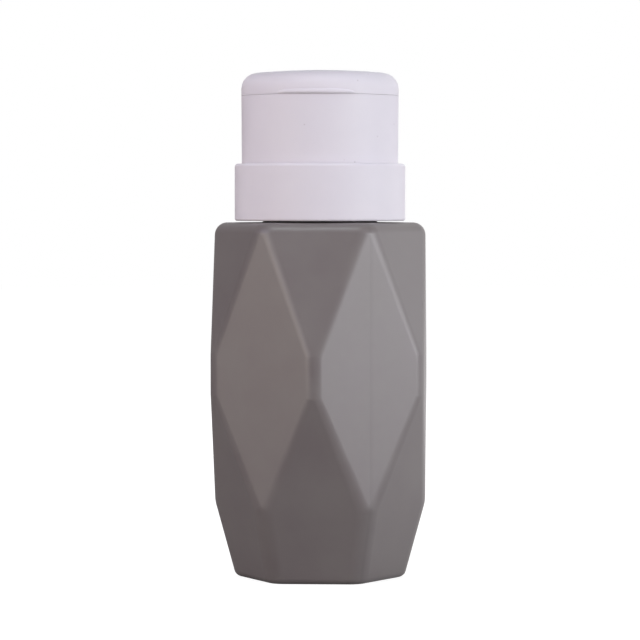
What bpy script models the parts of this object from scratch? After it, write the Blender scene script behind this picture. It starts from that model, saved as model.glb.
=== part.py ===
"""Faceted bottle with a push-down pump and a flip lid, for nail polish remover.

A pad is laid on the dish, the head is pressed down by hand and the pump lifts a
measured dose into the dish.  All sizes are in metres, +Z is up, the standing face
is at z = 0, the bottle's axis is the Z axis and the lid's thumb lip faces -Y.
"""

import math

import bmesh
import bpy
from mathutils import Matrix, Vector

# Fits shared by all pieces
FIT = 0.0003
OVERRUN = 0.002
MERGE = 0.000001
FINE_STEPS = 48
SMALL_STEPS = 24
TINY_STEPS = 16
ARC_STEPS = 5
ROUND_STEPS = 3
EDGE_STEPS = 2
CROWN_STEPS = 3
BOWL_STEPS = 4
SHARP_DEGREES = 35.0
FLAT_DEGREES = 0.2

# Bottle body, seen from above a hexagon turned by half a side at the waist
SIDES = 6
FACET_DISTANCE = 0.02915
EDGE_ROUND = 0.0035
FOOT_ROUND = 0.0020
FOOT_RADIUS = 0.02375
LOW_TIP_HEIGHT = 0.0208
WAIST_BOTTOM = 0.0520
WAIST_TOP = 0.0614
SHOULDER_HEIGHT = 0.0976
BOTTLE_WALL = 0.0012
BALL_STEPS = 24
HOLLOW_BALL_STEPS = 12

# Pushed-up base
PUSH_UP_HEIGHT = 0.0014
PUSH_UP_RADIUS = 0.0160
PUSH_UP_CROWN_RADIUS = 0.0110

# Bottle neck
NECK_RADIUS = 0.01525
NECK_WALL = 0.00225
NECK_HEIGHT = 0.0130
NECK_ROOT_ROUND = 0.0012
LIP_ROUND = 0.0004
THREAD_HEIGHT = 0.0012

# Screw closure with the collar that guides the head
SHOULDER_GAP = 0.0005
COLLAR_HEIGHT = 0.0160
COLLAR_WALL = 0.00155
COLLAR_WEB = 0.0015
COLLAR_TOP_ROUND = 0.0009
COLLAR_FOOT_ROUND = 0.0006
SKIRT_WALL = 0.0015
LEDGE_THICKNESS = 0.0012
LEDGE_HOLE_MARGIN = 0.0003

# Soft ring that seals the neck
GASKET_THICKNESS = 0.0010
GASKET_WIDTH = 0.00445

# Pump cylinder
CYLINDER_WALL = 0.0010
CYLINDER_FLANGE_THICKNESS = 0.0015
CAP_SEAT_STEP = 0.0010
CAP_PLUG_LENGTH = 0.0055
BALL_CAGE_GAP = 0.0006
BALL_CAGE_LENGTH = 0.0051
CAGE_SNAP = 0.00015
CAGE_LIP_THICKNESS = 0.0008
VALVE_LAP = 0.0006
VALVE_SEAT_THICKNESS = 0.0020
NOZZLE_WALL = 0.0014
TUBE_SOCKET_DEPTH = 0.0060
CYLINDER_FOOT_SLOPE = 0.0025

# Cap that keeps the plunger in the cylinder
CAP_FLANGE_REACH = 0.0012
CAP_FLANGE_THICKNESS = 0.0012

# Dip tube
TUBE_RADIUS = 0.0025
TUBE_BORE_RADIUS = 0.0018
TUBE_FLOOR_GAP = 0.0016

# Plunger
STROKE = 0.0080
STEM_WALL = 0.0008
STEM_SHOULDER_STEP = 0.0013
STEM_SHOULDER_GAP = 0.0009
STEM_SHOULDER_LENGTH = 0.0027
ROD_RADIUS = 0.0022
ROD_SPIGOT_LENGTH = 0.0047
ROD_HEAD_REACH = 0.0010
ROD_HEAD_THICKNESS = 0.0015
ROD_TIP_LENGTH = 0.0040
ROD_TIP_MARGIN = 0.0025
ROD_BORE_RADIUS = 0.0010
ROD_PORT_RADIUS = 0.0008
SEAL_LENGTH = 0.0054
SEAL_SLIP = 0.0010
SEAL_WAIST_DEPTH = 0.0012
SEAL_LIP_LENGTH = 0.0013

# Return spring, round stainless wire
SPRING_WIRE = 0.0007
SPRING_ROD_GAP = 0.00085
SPRING_CURLS = 6
SPRING_POINTS_PER_CURL = 10
SPRING_END_CURLS = 0.75
SPRING_END_PITCH_SHARE = 1.6

# Check balls
INLET_BALL_RADIUS = 0.0020
OUTLET_BALL_RADIUS = 0.0016
OUTLET_LAP = 0.0005
OUTLET_CAGE_GAP = 0.0005
OUTLET_CAGE_DEPTH = 0.0039

# Head, the white wall that slides in the collar
HEAD_INNER_GAP = 0.0016
HEAD_DRAFT = 0.00015
HEAD_WALL = 0.0017
HEAD_HEIGHT = 0.0228
HEAD_FOOT_MARGIN = 0.0024
HEAD_EDGE_ROUND = 0.0003
DISH_LEDGE_WIDTH = 0.0018
DISH_LEDGE_THICKNESS = 0.0011
DISH_LEDGE_DEPTH = 0.0022

# Dish that the pad is pressed on
DISH_THICKNESS = 0.0013
DISH_DEPTH = 0.0023
DISH_RIM_WIDTH = 0.0019
DISH_RIM_HEIGHT = 0.0016
SOCKET_WALL = 0.0016

# Outlet cap in the middle of the dish
OUTLET_RADIUS = 0.0032
OUTLET_STEM_RADIUS = 0.0017
OUTLET_HEIGHT = 0.0012
OUTLET_ROUND = 0.0005
OUTLET_HOLE_RADIUS = 0.0005
OUTLET_HOLES = 4
OUTLET_HOLE_CIRCLE_RADIUS = 0.0010

# Flip lid
LID_HEIGHT = 0.0069
LID_WALL = 0.0015
LID_CORNER_ROUND = 0.0042
LID_CROWN = 0.0008
LID_FOOT_ROUND = 0.0003
THUMB_LIP_HALF_WIDTH = 0.0100
THUMB_LIP_HEIGHT = 0.0014
THUMB_LIP_REACH = 0.0006
THUMB_LIP_ROUND = 0.0007
THUMB_LIP_BREAK_SHARE = 0.33

# Soft stopper under the lid
STOPPER_EDGE = 0.0017
STOPPER_THICKNESS = 0.0012
STOPPER_RING_GAP = 0.0016
STOPPER_RING_WALL = 0.0010

# Lid hinge at the back, pegs on the lid in ears on the head
HINGE_INSET = 0.0005
EAR_RADIUS = 0.0015
EAR_WIDTH = 0.0024
PEG_RADIUS = 0.0006
KNUCKLE_RADIUS = 0.0014
KNUCKLE_HALF_WIDTH = 0.0028
HINGE_NOTCH_MARGIN = 0.0006

# Places that follow from the sizes above
NECK_TOP = SHOULDER_HEIGHT + NECK_HEIGHT
NECK_BORE_RADIUS = NECK_RADIUS - NECK_WALL
COLLAR_FOOT = SHOULDER_HEIGHT + SHOULDER_GAP
COLLAR_TOP = COLLAR_FOOT + COLLAR_HEIGHT
SKIRT_BORE_RADIUS = NECK_RADIUS + THREAD_HEIGHT + FIT
SKIRT_RADIUS = SKIRT_BORE_RADIUS + SKIRT_WALL
HEAD_BORE_RADIUS = SKIRT_RADIUS + HEAD_INNER_GAP
HEAD_FOOT_RADIUS = HEAD_BORE_RADIUS + HEAD_WALL
HEAD_TOP_RADIUS = HEAD_FOOT_RADIUS + HEAD_DRAFT
GUIDE_RADIUS = HEAD_TOP_RADIUS + FIT
COLLAR_RADIUS = GUIDE_RADIUS + COLLAR_WALL
STEM_RADIUS = ROD_RADIUS + FIT + STEM_WALL
STEM_SHOULDER_RADIUS = STEM_RADIUS + STEM_SHOULDER_STEP
STEM_BORE_RADIUS = OUTLET_BALL_RADIUS - OUTLET_LAP
OUTLET_CAGE_RADIUS = OUTLET_BALL_RADIUS + OUTLET_CAGE_GAP
SPRING_RADIUS = ROD_RADIUS + SPRING_ROD_GAP + SPRING_WIRE / 2
ROD_HEAD_RADIUS = SPRING_RADIUS + ROD_HEAD_REACH
CYLINDER_BORE_RADIUS = STEM_SHOULDER_RADIUS + STEM_SHOULDER_GAP
CAP_SEAT_RADIUS = CYLINDER_BORE_RADIUS + CAP_SEAT_STEP
CAP_FLANGE_RADIUS = CAP_SEAT_RADIUS + CAP_FLANGE_REACH
CYLINDER_RADIUS = CAP_SEAT_RADIUS + CYLINDER_WALL
VALVE_HOLE_RADIUS = INLET_BALL_RADIUS - VALVE_LAP
BALL_CAGE_RADIUS = INLET_BALL_RADIUS + BALL_CAGE_GAP
CAGE_LIP_RADIUS = INLET_BALL_RADIUS - CAGE_SNAP
STOPPER_RING_RADIUS = OUTLET_RADIUS + STOPPER_RING_GAP + STOPPER_RING_WALL
STOPPER_RADIUS = STOPPER_RING_RADIUS + STOPPER_EDGE
HINGE_DISTANCE = HEAD_TOP_RADIUS - HINGE_INSET
GASKET_BOTTOM = NECK_TOP + FIT
GASKET_INNER_RADIUS = NECK_RADIUS - GASKET_WIDTH
FLANGE_BOTTOM = GASKET_BOTTOM + GASKET_THICKNESS + FIT
FLANGE_TOP = FLANGE_BOTTOM + CYLINDER_FLANGE_THICKNESS
LEDGE_BOTTOM = FLANGE_TOP + FIT
LEDGE_TOP = LEDGE_BOTTOM + LEDGE_THICKNESS
CAP_TOP = FLANGE_TOP + FIT + CAP_FLANGE_THICKNESS
CAP_PLUG_BOTTOM = FLANGE_TOP - CAP_PLUG_LENGTH
CAP_SEAT_BOTTOM = CAP_PLUG_BOTTOM - FIT
STEM_SHOULDER_TOP = CAP_PLUG_BOTTOM - FIT
STEM_BOTTOM = STEM_SHOULDER_TOP - STEM_SHOULDER_LENGTH
SEAL_TOP = STEM_BOTTOM - FIT - SEAL_SLIP
SEAL_BOTTOM = SEAL_TOP - SEAL_LENGTH
ROD_HEAD_TOP = SEAL_BOTTOM - FIT
ROD_HEAD_BOTTOM = ROD_HEAD_TOP - ROD_HEAD_THICKNESS
ROD_TIP = ROD_HEAD_BOTTOM - ROD_TIP_LENGTH
ROD_TOP = STEM_BOTTOM + ROD_SPIGOT_LENGTH
CHAMBER_FLOOR = ROD_TIP - STROKE - ROD_TIP_MARGIN
CAGE_FLOOR = CHAMBER_FLOOR - BALL_CAGE_LENGTH
SOCKET_CEILING = CAGE_FLOOR - VALVE_SEAT_THICKNESS
NOZZLE_BOTTOM = SOCKET_CEILING - TUBE_SOCKET_DEPTH
NOZZLE_RADIUS = TUBE_RADIUS + FIT + NOZZLE_WALL
BOTTLE_FLOOR = PUSH_UP_HEIGHT + BOTTLE_WALL
TUBE_BOTTOM = BOTTLE_FLOOR + TUBE_FLOOR_GAP
TUBE_TOP = SOCKET_CEILING - FIT
HEAD_FOOT = COLLAR_FOOT + COLLAR_WEB + STROKE + HEAD_FOOT_MARGIN
HEAD_TOP = HEAD_FOOT + HEAD_HEIGHT
LID_FOOT = HEAD_TOP + FIT
LID_TOP = LID_FOOT + LID_HEIGHT
DISH_LEDGE_TOP = HEAD_TOP - DISH_LEDGE_DEPTH
DISH_RADIUS = HEAD_BORE_RADIUS - FIT
DISH_RIM_BOTTOM = DISH_LEDGE_TOP + FIT
DISH_RIM_TOP = DISH_RIM_BOTTOM + DISH_RIM_HEIGHT
DISH_TOP = DISH_RIM_TOP - DISH_DEPTH
DISH_BOTTOM = DISH_TOP - DISH_THICKNESS
DISH_BOWL_RADIUS = DISH_RADIUS - DISH_RIM_WIDTH
DISH_FLAT_RADIUS = STOPPER_RING_RADIUS + FIT
SOCKET_RADIUS = STEM_RADIUS + FIT + SOCKET_WALL
SOCKET_FOOT = CAP_TOP + STROKE + FIT
STEM_TOP = DISH_BOTTOM - FIT
OUTLET_SEAT = STEM_TOP - OUTLET_CAGE_DEPTH
LID_CEILING = LID_TOP - LID_CROWN - LID_WALL
STOPPER_TOP = LID_CEILING - FIT
STOPPER_BOTTOM = STOPPER_TOP - STOPPER_THICKNESS
STOPPER_RING_BOTTOM = DISH_TOP + FIT
HINGE_HEIGHT = (HEAD_TOP + LID_FOOT) / 2
EAR_INNER = KNUCKLE_HALF_WIDTH + FIT
EAR_OUTER = EAR_INNER + EAR_WIDTH
PEG_REACH = EAR_OUTER - FIT
PUMP_LIFT = NECK_TOP - TUBE_BOTTOM + OVERRUN


def clear_scene():
    """Take away whatever the file holds, so that the model stands alone."""
    for item in list(bpy.data.objects):
        bpy.data.objects.remove(item, do_unlink=True)


def make_material(name, colour, roughness, metallic=0.0):
    """Return a Principled material of one colour."""
    material = bpy.data.materials.new(name)
    material.use_nodes = True
    shader = material.node_tree.nodes["Principled BSDF"]
    shader.inputs["Base Color"].default_value = (*colour, 1.0)
    shader.inputs["Roughness"].default_value = roughness
    shader.inputs["Metallic"].default_value = metallic
    material.diffuse_color = (*colour, 1.0)
    return material


def make_object(name, mesh, material=None):
    """Turn a bmesh into a smooth-shaded object at the origin."""
    bmesh.ops.recalc_face_normals(mesh, faces=mesh.faces[:])
    data = bpy.data.meshes.new(name)
    mesh.to_mesh(data)
    mesh.free()
    data.shade_smooth()
    data.set_sharp_from_angle(angle=math.radians(SHARP_DEGREES))
    item = bpy.data.objects.new(name, data)
    bpy.context.collection.objects.link(item)
    if material is not None:
        data.materials.append(material)
    return item


def arc(centre, radius, start, end, steps=ARC_STEPS):
    """Points of an arc round centre, with angles in degrees from the +X side."""
    points = []
    for step in range(steps + 1):
        angle = math.radians(start + (end - start) * step / steps)
        points.append((centre[0] + radius * math.cos(angle), centre[1] + radius * math.sin(angle)))
    return points


def turned(name, outline, material=None, steps=FINE_STEPS, closed=True):
    """Turn an outline of (radius, height) points once round the Z axis.

    An outline that starts and ends on the axis is open, and any other is a loop.
    """
    mesh = bmesh.new()
    points = [mesh.verts.new((radius, 0.0, height)) for radius, height in outline]
    edges = [mesh.edges.new(pair) for pair in zip(points, points[1:])]
    if closed:
        edges.append(mesh.edges.new((points[-1], points[0])))
    bmesh.ops.spin(
        mesh,
        geom=points + edges,
        cent=(0.0, 0.0, 0.0),
        axis=(0.0, 0.0, 1.0),
        angle=math.tau,
        steps=steps,
        use_merge=True,
    )
    bmesh.ops.remove_doubles(mesh, verts=mesh.verts[:], dist=MERGE)
    return make_object(name, mesh, material)


def box(name, low, high, edge_round=0.0):
    """Make a box between two corners, its long edges rounded when asked."""
    mesh = bmesh.new()
    low, high = Vector(low), Vector(high)
    size = Matrix.Diagonal((*(high - low), 1.0))
    bmesh.ops.create_cube(mesh, size=1.0, matrix=Matrix.Translation((low + high) / 2) @ size)
    if edge_round:
        bmesh.ops.bevel(
            mesh,
            geom=mesh.edges[:],
            offset=edge_round,
            segments=EDGE_STEPS,
            profile=0.5,
            affect="EDGES",
            material=-1,
        )
    return make_object(name, mesh)


def rod_along_x(name, radius, start, end, place, steps=TINY_STEPS):
    """Make a round bar along X between start and end, its axis through place."""
    mesh = bmesh.new()
    turn = Matrix.Rotation(math.pi / 2, 4, "Y")
    middle = Matrix.Translation(((start + end) / 2, place[0], place[1]))
    bmesh.ops.create_cone(
        mesh,
        cap_ends=True,
        segments=steps,
        radius1=radius,
        radius2=radius,
        depth=end - start,
        matrix=middle @ turn,
    )
    return make_object(name, mesh)


def cut_by(item, tool, operation="DIFFERENCE"):
    """Add an exact Boolean with a tool that is kept only as a guide."""
    modifier = item.modifiers.new(tool.name, "BOOLEAN")
    modifier.object = tool
    modifier.operation = operation
    modifier.solver = "EXACT"
    tool.hide_render = True
    tool.display_type = "WIRE"


def ring_of_balls(mesh, radius, height, ball, turn, steps):
    """Put one ball at each corner of a hexagon, its centres at radius and height."""
    for side in range(SIDES):
        angle = turn + math.tau * side / SIDES
        place = (radius * math.cos(angle), radius * math.sin(angle), height)
        bmesh.ops.create_uvsphere(
            mesh,
            u_segments=steps,
            v_segments=steps // 2,
            radius=ball,
            matrix=Matrix.Translation(place),
        )


def faceted_body(name, inset, floor, steps, material=None):
    """Wrap a skin over rings of balls, which rounds every edge of the facets.

    The same balls made smaller by inset give the hollow with an even wall.
    """
    tip_turn = math.pi / SIDES - math.pi / 2
    waist_turn = -math.pi / 2
    tip_radius = FACET_DISTANCE - EDGE_ROUND
    waist_radius = tip_radius / math.cos(math.pi / SIDES)
    foot_height = floor + FOOT_ROUND - inset
    foot_share = (foot_height - FOOT_ROUND) / (LOW_TIP_HEIGHT - FOOT_ROUND)
    foot_centre = FOOT_RADIUS - FOOT_ROUND
    foot_radius = foot_centre + (tip_radius - foot_centre) * foot_share
    mesh = bmesh.new()
    ring_of_balls(mesh, foot_radius, foot_height, FOOT_ROUND - inset, tip_turn, steps)
    ring_of_balls(mesh, tip_radius, LOW_TIP_HEIGHT, EDGE_ROUND - inset, tip_turn, steps)
    ring_of_balls(mesh, waist_radius, WAIST_BOTTOM, EDGE_ROUND - inset, waist_turn, steps)
    ring_of_balls(mesh, waist_radius, WAIST_TOP, EDGE_ROUND - inset, waist_turn, steps)
    ring_of_balls(mesh, tip_radius, SHOULDER_HEIGHT - EDGE_ROUND, EDGE_ROUND - inset, tip_turn, steps)
    bmesh.ops.delete(mesh, geom=mesh.edges[:], context="EDGES_FACES")
    skin = bmesh.ops.convex_hull(mesh, input=mesh.verts[:])
    spare = {item for item in skin["geom_interior"] + skin["geom_unused"]}
    spare = [item for item in spare if isinstance(item, bmesh.types.BMVert)]
    bmesh.ops.delete(mesh, geom=spare, context="VERTS")
    bmesh.ops.dissolve_limit(
        mesh,
        angle_limit=math.radians(FLAT_DEGREES),
        verts=mesh.verts[:],
        edges=mesh.edges[:],
        use_dissolve_boundaries=False,
    )
    return make_object(name, mesh, material)


def build_bottle(material):
    """Blow-moulded bottle: faceted body, hollow, pushed-up base and plain neck."""
    bottle = faceted_body("bottle", 0.0, 0.0, BALL_STEPS, material)
    root_middle = (NECK_RADIUS + NECK_ROOT_ROUND, SHOULDER_HEIGHT + NECK_ROOT_ROUND)
    lip_middle = (NECK_RADIUS - LIP_ROUND, NECK_TOP - LIP_ROUND)
    neck = turned(
        "bottle_neck_guide",
        [(0.0, SHOULDER_HEIGHT - OVERRUN), (root_middle[0], SHOULDER_HEIGHT - OVERRUN)]
        + arc(root_middle, NECK_ROOT_ROUND, -90.0, -180.0)
        + arc(lip_middle, LIP_ROUND, 0.0, 90.0, EDGE_STEPS)
        + [(0.0, NECK_TOP)],
        closed=False,
    )
    hollow = faceted_body("bottle_hollow_guide", BOTTLE_WALL, BOTTLE_FLOOR, HOLLOW_BALL_STEPS)
    bore = turned(
        "bottle_bore_guide",
        [
            (0.0, SHOULDER_HEIGHT - BOTTLE_WALL - OVERRUN),
            (NECK_BORE_RADIUS, SHOULDER_HEIGHT - BOTTLE_WALL - OVERRUN),
            (NECK_BORE_RADIUS, NECK_TOP + OVERRUN),
            (0.0, NECK_TOP + OVERRUN),
        ],
        closed=False,
    )
    flare = (PUSH_UP_RADIUS - PUSH_UP_CROWN_RADIUS) / PUSH_UP_HEIGHT * OVERRUN
    push_up = turned(
        "bottle_push_up_guide",
        [
            (0.0, -OVERRUN),
            (PUSH_UP_RADIUS + flare, -OVERRUN),
            (PUSH_UP_CROWN_RADIUS, PUSH_UP_HEIGHT),
            (0.0, PUSH_UP_HEIGHT),
        ],
        closed=False,
    )
    cut_by(bottle, neck, "UNION")
    cut_by(bottle, hollow)
    cut_by(bottle, bore)
    cut_by(bottle, push_up)
    return bottle


def build_collar(material):
    """Screw closure: threaded skirt, top ledge, web and the outer guide wall."""
    top_middle = (COLLAR_RADIUS - COLLAR_TOP_ROUND, COLLAR_TOP - COLLAR_TOP_ROUND)
    foot_middle = (COLLAR_RADIUS - COLLAR_FOOT_ROUND, COLLAR_FOOT + COLLAR_FOOT_ROUND)
    hole = CAP_FLANGE_RADIUS + LEDGE_HOLE_MARGIN
    return turned(
        "closure_collar",
        [(SKIRT_BORE_RADIUS, COLLAR_FOOT)]
        + arc(foot_middle, COLLAR_FOOT_ROUND, -90.0, 0.0, ROUND_STEPS)
        + arc(top_middle, COLLAR_TOP_ROUND, 0.0, 90.0, ROUND_STEPS + 1)
        + [
            (GUIDE_RADIUS, COLLAR_TOP),
            (GUIDE_RADIUS, COLLAR_FOOT + COLLAR_WEB),
            (SKIRT_RADIUS, COLLAR_FOOT + COLLAR_WEB),
            (SKIRT_RADIUS, LEDGE_TOP - COLLAR_FOOT_ROUND),
            (SKIRT_RADIUS - COLLAR_FOOT_ROUND, LEDGE_TOP),
            (hole, LEDGE_TOP),
            (hole, LEDGE_BOTTOM),
            (SKIRT_BORE_RADIUS, LEDGE_BOTTOM),
        ],
        material,
    )


def build_gasket(material):
    """Soft washer between the neck's lip and the cylinder's flange."""
    top = GASKET_BOTTOM + GASKET_THICKNESS
    return turned(
        "neck_gasket",
        [
            (GASKET_INNER_RADIUS, GASKET_BOTTOM),
            (NECK_RADIUS, GASKET_BOTTOM),
            (NECK_RADIUS, top),
            (GASKET_INNER_RADIUS, top),
        ],
        material,
        SMALL_STEPS,
    )


def build_cylinder(material):
    """Pump cylinder: flange, chamber, ball cage, valve seat and tube socket."""
    tube_fit = TUBE_RADIUS + FIT
    outside = [
        (tube_fit, NOZZLE_BOTTOM),
        (NOZZLE_RADIUS, NOZZLE_BOTTOM),
        (NOZZLE_RADIUS, CAGE_FLOOR),
        (CYLINDER_RADIUS, CAGE_FLOOR + CYLINDER_FOOT_SLOPE),
        (CYLINDER_RADIUS, FLANGE_BOTTOM),
        (NECK_RADIUS, FLANGE_BOTTOM),
        (NECK_RADIUS, FLANGE_TOP),
    ]
    inside = [
        (CAP_SEAT_RADIUS, FLANGE_TOP),
        (CAP_SEAT_RADIUS, CAP_SEAT_BOTTOM),
        (CYLINDER_BORE_RADIUS, CAP_SEAT_BOTTOM),
        (CYLINDER_BORE_RADIUS, CHAMBER_FLOOR),
        (CAGE_LIP_RADIUS, CHAMBER_FLOOR),
        (CAGE_LIP_RADIUS, CHAMBER_FLOOR - CAGE_LIP_THICKNESS),
        (BALL_CAGE_RADIUS, CHAMBER_FLOOR - CAGE_LIP_THICKNESS),
        (BALL_CAGE_RADIUS, CAGE_FLOOR),
        (VALVE_HOLE_RADIUS, CAGE_FLOOR),
        (VALVE_HOLE_RADIUS, SOCKET_CEILING),
        (tube_fit, SOCKET_CEILING),
    ]
    return turned("pump_cylinder", outside + inside, material, SMALL_STEPS)


def build_cylinder_cap(material):
    """Bush pressed in the cylinder's mouth, which stops the stem's shoulder."""
    hole = STEM_RADIUS + FIT
    plug = CAP_SEAT_RADIUS - FIT
    return turned(
        "cylinder_cap",
        [
            (hole, CAP_PLUG_BOTTOM),
            (plug, CAP_PLUG_BOTTOM),
            (plug, FLANGE_TOP + FIT),
            (CAP_FLANGE_RADIUS, FLANGE_TOP + FIT),
            (CAP_FLANGE_RADIUS, CAP_TOP),
            (hole, CAP_TOP),
        ],
        material,
        SMALL_STEPS,
    )


def build_dip_tube(material):
    """Plain tube from the cylinder's socket down to just over the floor."""
    return turned(
        "dip_tube",
        [
            (TUBE_BORE_RADIUS, TUBE_BOTTOM),
            (TUBE_RADIUS, TUBE_BOTTOM),
            (TUBE_RADIUS, TUBE_TOP),
            (TUBE_BORE_RADIUS, TUBE_TOP),
        ],
        material,
        TINY_STEPS,
    )


def spring_points():
    """Points along the wire's middle, with close curls at both ends."""
    low = CHAMBER_FLOOR + FIT + SPRING_WIRE / 2
    high = ROD_HEAD_BOTTOM - FIT - SPRING_WIRE / 2
    close_pitch = SPRING_WIRE * SPRING_END_PITCH_SHARE
    close_rise = close_pitch * SPRING_END_CURLS
    open_curls = SPRING_CURLS - 2 * SPRING_END_CURLS
    open_pitch = (high - low - 2 * close_rise) / open_curls
    points = []
    for step in range(SPRING_CURLS * SPRING_POINTS_PER_CURL + 1):
        curl = step / SPRING_POINTS_PER_CURL
        opened = min(max(curl - SPRING_END_CURLS, 0.0), open_curls)
        height = low + close_pitch * (curl - opened) + open_pitch * opened
        angle = math.tau * curl
        points.append(Vector((SPRING_RADIUS * math.cos(angle), SPRING_RADIUS * math.sin(angle), height)))
    return points


def spring_gap(points):
    """Least clear distance between curls, measured on the wire's points."""
    least = math.inf
    skip = SPRING_POINTS_PER_CURL // 2
    for first, place in enumerate(points):
        for other in points[first + skip:]:
            least = min(least, (place - other).length - SPRING_WIRE)
    return least


def build_spring(material):
    """Return spring, one unbroken wire between the chamber's floor and the rod's head."""
    points = spring_points()
    curve = bpy.data.curves.new("return_spring", "CURVE")
    curve.dimensions = "3D"
    curve.bevel_depth = SPRING_WIRE / 2
    curve.bevel_resolution = 1
    curve.use_fill_caps = True
    spline = curve.splines.new("POLY")
    spline.points.add(len(points) - 1)
    for spot, place in zip(spline.points, points):
        spot.co = (*place, 1.0)
    curve.materials.append(material)
    item = bpy.data.objects.new("return_spring", curve)
    bpy.context.collection.objects.link(item)
    print(f"return_spring: least gap between curls {spring_gap(points) * 1000:.2f} mm")
    return item


def build_ball(name, radius, seat_radius, seat_height, material):
    """Check ball resting on the rim of a round hole."""
    height = seat_height + math.sqrt(radius ** 2 - seat_radius ** 2) + FIT
    mesh = bmesh.new()
    bmesh.ops.create_uvsphere(
        mesh,
        u_segments=TINY_STEPS,
        v_segments=TINY_STEPS // 2,
        radius=radius,
        matrix=Matrix.Translation((0.0, 0.0, height)),
    )
    return make_object(name, mesh, material)


def build_piston_seal(material):
    """Double-lipped piston that slides a little on the rod."""
    bore = ROD_RADIUS + FIT
    lip = CYLINDER_BORE_RADIUS - FIT
    waist = lip - SEAL_WAIST_DEPTH
    return turned(
        "piston_seal",
        [
            (bore, SEAL_BOTTOM),
            (lip - FIT, SEAL_BOTTOM),
            (lip, SEAL_BOTTOM + SEAL_LIP_LENGTH),
            (waist, SEAL_BOTTOM + SEAL_LIP_LENGTH),
            (waist, SEAL_TOP - SEAL_LIP_LENGTH),
            (lip, SEAL_TOP - SEAL_LIP_LENGTH),
            (lip - FIT, SEAL_TOP),
            (bore, SEAL_TOP),
        ],
        material,
        SMALL_STEPS,
    )


def build_piston_rod(material):
    """Rod that carries the piston, with its head on the spring and a spigot in the stem."""
    port_height = (SEAL_BOTTOM + SEAL_TOP) / 2
    rod = turned(
        "piston_rod",
        [
            (0.0, ROD_TIP),
            (ROD_RADIUS - FIT, ROD_TIP),
            (ROD_RADIUS, ROD_TIP + FIT),
            (ROD_RADIUS, ROD_HEAD_BOTTOM),
            (ROD_HEAD_RADIUS, ROD_HEAD_BOTTOM),
            (ROD_HEAD_RADIUS, ROD_HEAD_TOP),
            (ROD_RADIUS, ROD_HEAD_TOP),
            (ROD_RADIUS, ROD_TOP),
            (ROD_BORE_RADIUS, ROD_TOP),
            (ROD_BORE_RADIUS, port_height - ROD_PORT_RADIUS),
            (0.0, port_height - ROD_PORT_RADIUS),
        ],
        material,
        SMALL_STEPS,
        closed=False,
    )
    reach = ROD_RADIUS + OVERRUN
    port = rod_along_x("rod_port_guide", ROD_PORT_RADIUS, -reach, reach, (0.0, port_height))
    cut_by(rod, port)
    return rod


def build_stem(material):
    """Hollow stem from the piston rod up to the dish, with the outlet ball's cage."""
    spigot = ROD_RADIUS + FIT
    return turned(
        "stem_tube",
        [
            (spigot, STEM_BOTTOM),
            (STEM_SHOULDER_RADIUS, STEM_BOTTOM),
            (STEM_SHOULDER_RADIUS, STEM_SHOULDER_TOP),
            (STEM_RADIUS, STEM_SHOULDER_TOP),
            (STEM_RADIUS, STEM_TOP),
            (OUTLET_CAGE_RADIUS, STEM_TOP),
            (OUTLET_CAGE_RADIUS, OUTLET_SEAT),
            (STEM_BORE_RADIUS, OUTLET_SEAT),
            (STEM_BORE_RADIUS, ROD_TOP + FIT),
            (spigot, ROD_TOP + FIT),
        ],
        material,
        SMALL_STEPS,
    )


def hinge_ears():
    """The head's two ears, round-ended and rooted in its wall."""
    ears = []
    for side in (-1, 1):
        ends = sorted((side * KNUCKLE_HALF_WIDTH, side * EAR_OUTER))
        place = (HINGE_DISTANCE, HINGE_HEIGHT)
        ear = rod_along_x(f"ear_guide_{side + 1}", EAR_RADIUS, *ends, place)
        ears.append(ear)
    return ears


def build_head(material):
    """White wall of the head: guide wall, inner ledge for the dish and hinge ears."""
    foot_middle = (HEAD_FOOT_RADIUS - HEAD_EDGE_ROUND, HEAD_FOOT + HEAD_EDGE_ROUND)
    top_middle = (HEAD_TOP_RADIUS - HEAD_EDGE_ROUND, HEAD_TOP - HEAD_EDGE_ROUND)
    ledge_bottom = DISH_LEDGE_TOP - DISH_LEDGE_THICKNESS
    ledge_inner = HEAD_BORE_RADIUS - DISH_LEDGE_WIDTH
    head = turned(
        "press_head",
        [(HEAD_BORE_RADIUS, HEAD_FOOT)]
        + arc(foot_middle, HEAD_EDGE_ROUND, -90.0, 0.0, EDGE_STEPS)
        + arc(top_middle, HEAD_EDGE_ROUND, 0.0, 90.0, EDGE_STEPS)
        + [
            (HEAD_BORE_RADIUS, HEAD_TOP),
            (HEAD_BORE_RADIUS, DISH_LEDGE_TOP),
            (ledge_inner, DISH_LEDGE_TOP),
            (ledge_inner, ledge_bottom),
            (HEAD_BORE_RADIUS, ledge_bottom - DISH_LEDGE_WIDTH),
        ],
        material,
    )
    notch_foot = HINGE_HEIGHT - KNUCKLE_RADIUS - FIT
    notch = box(
        "head_notch_guide",
        (-EAR_INNER, HINGE_DISTANCE - KNUCKLE_RADIUS - FIT, notch_foot),
        (EAR_INNER, HEAD_TOP_RADIUS + OVERRUN, HEAD_TOP + OVERRUN),
    )
    for ear in hinge_ears():
        cut_by(head, ear, "UNION")
    reach = EAR_OUTER + OVERRUN
    hole = rod_along_x("ear_hole_guide", PEG_RADIUS + FIT, -reach, reach, (HINGE_DISTANCE, HINGE_HEIGHT))
    cut_by(head, notch)
    cut_by(head, hole)
    return head


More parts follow.
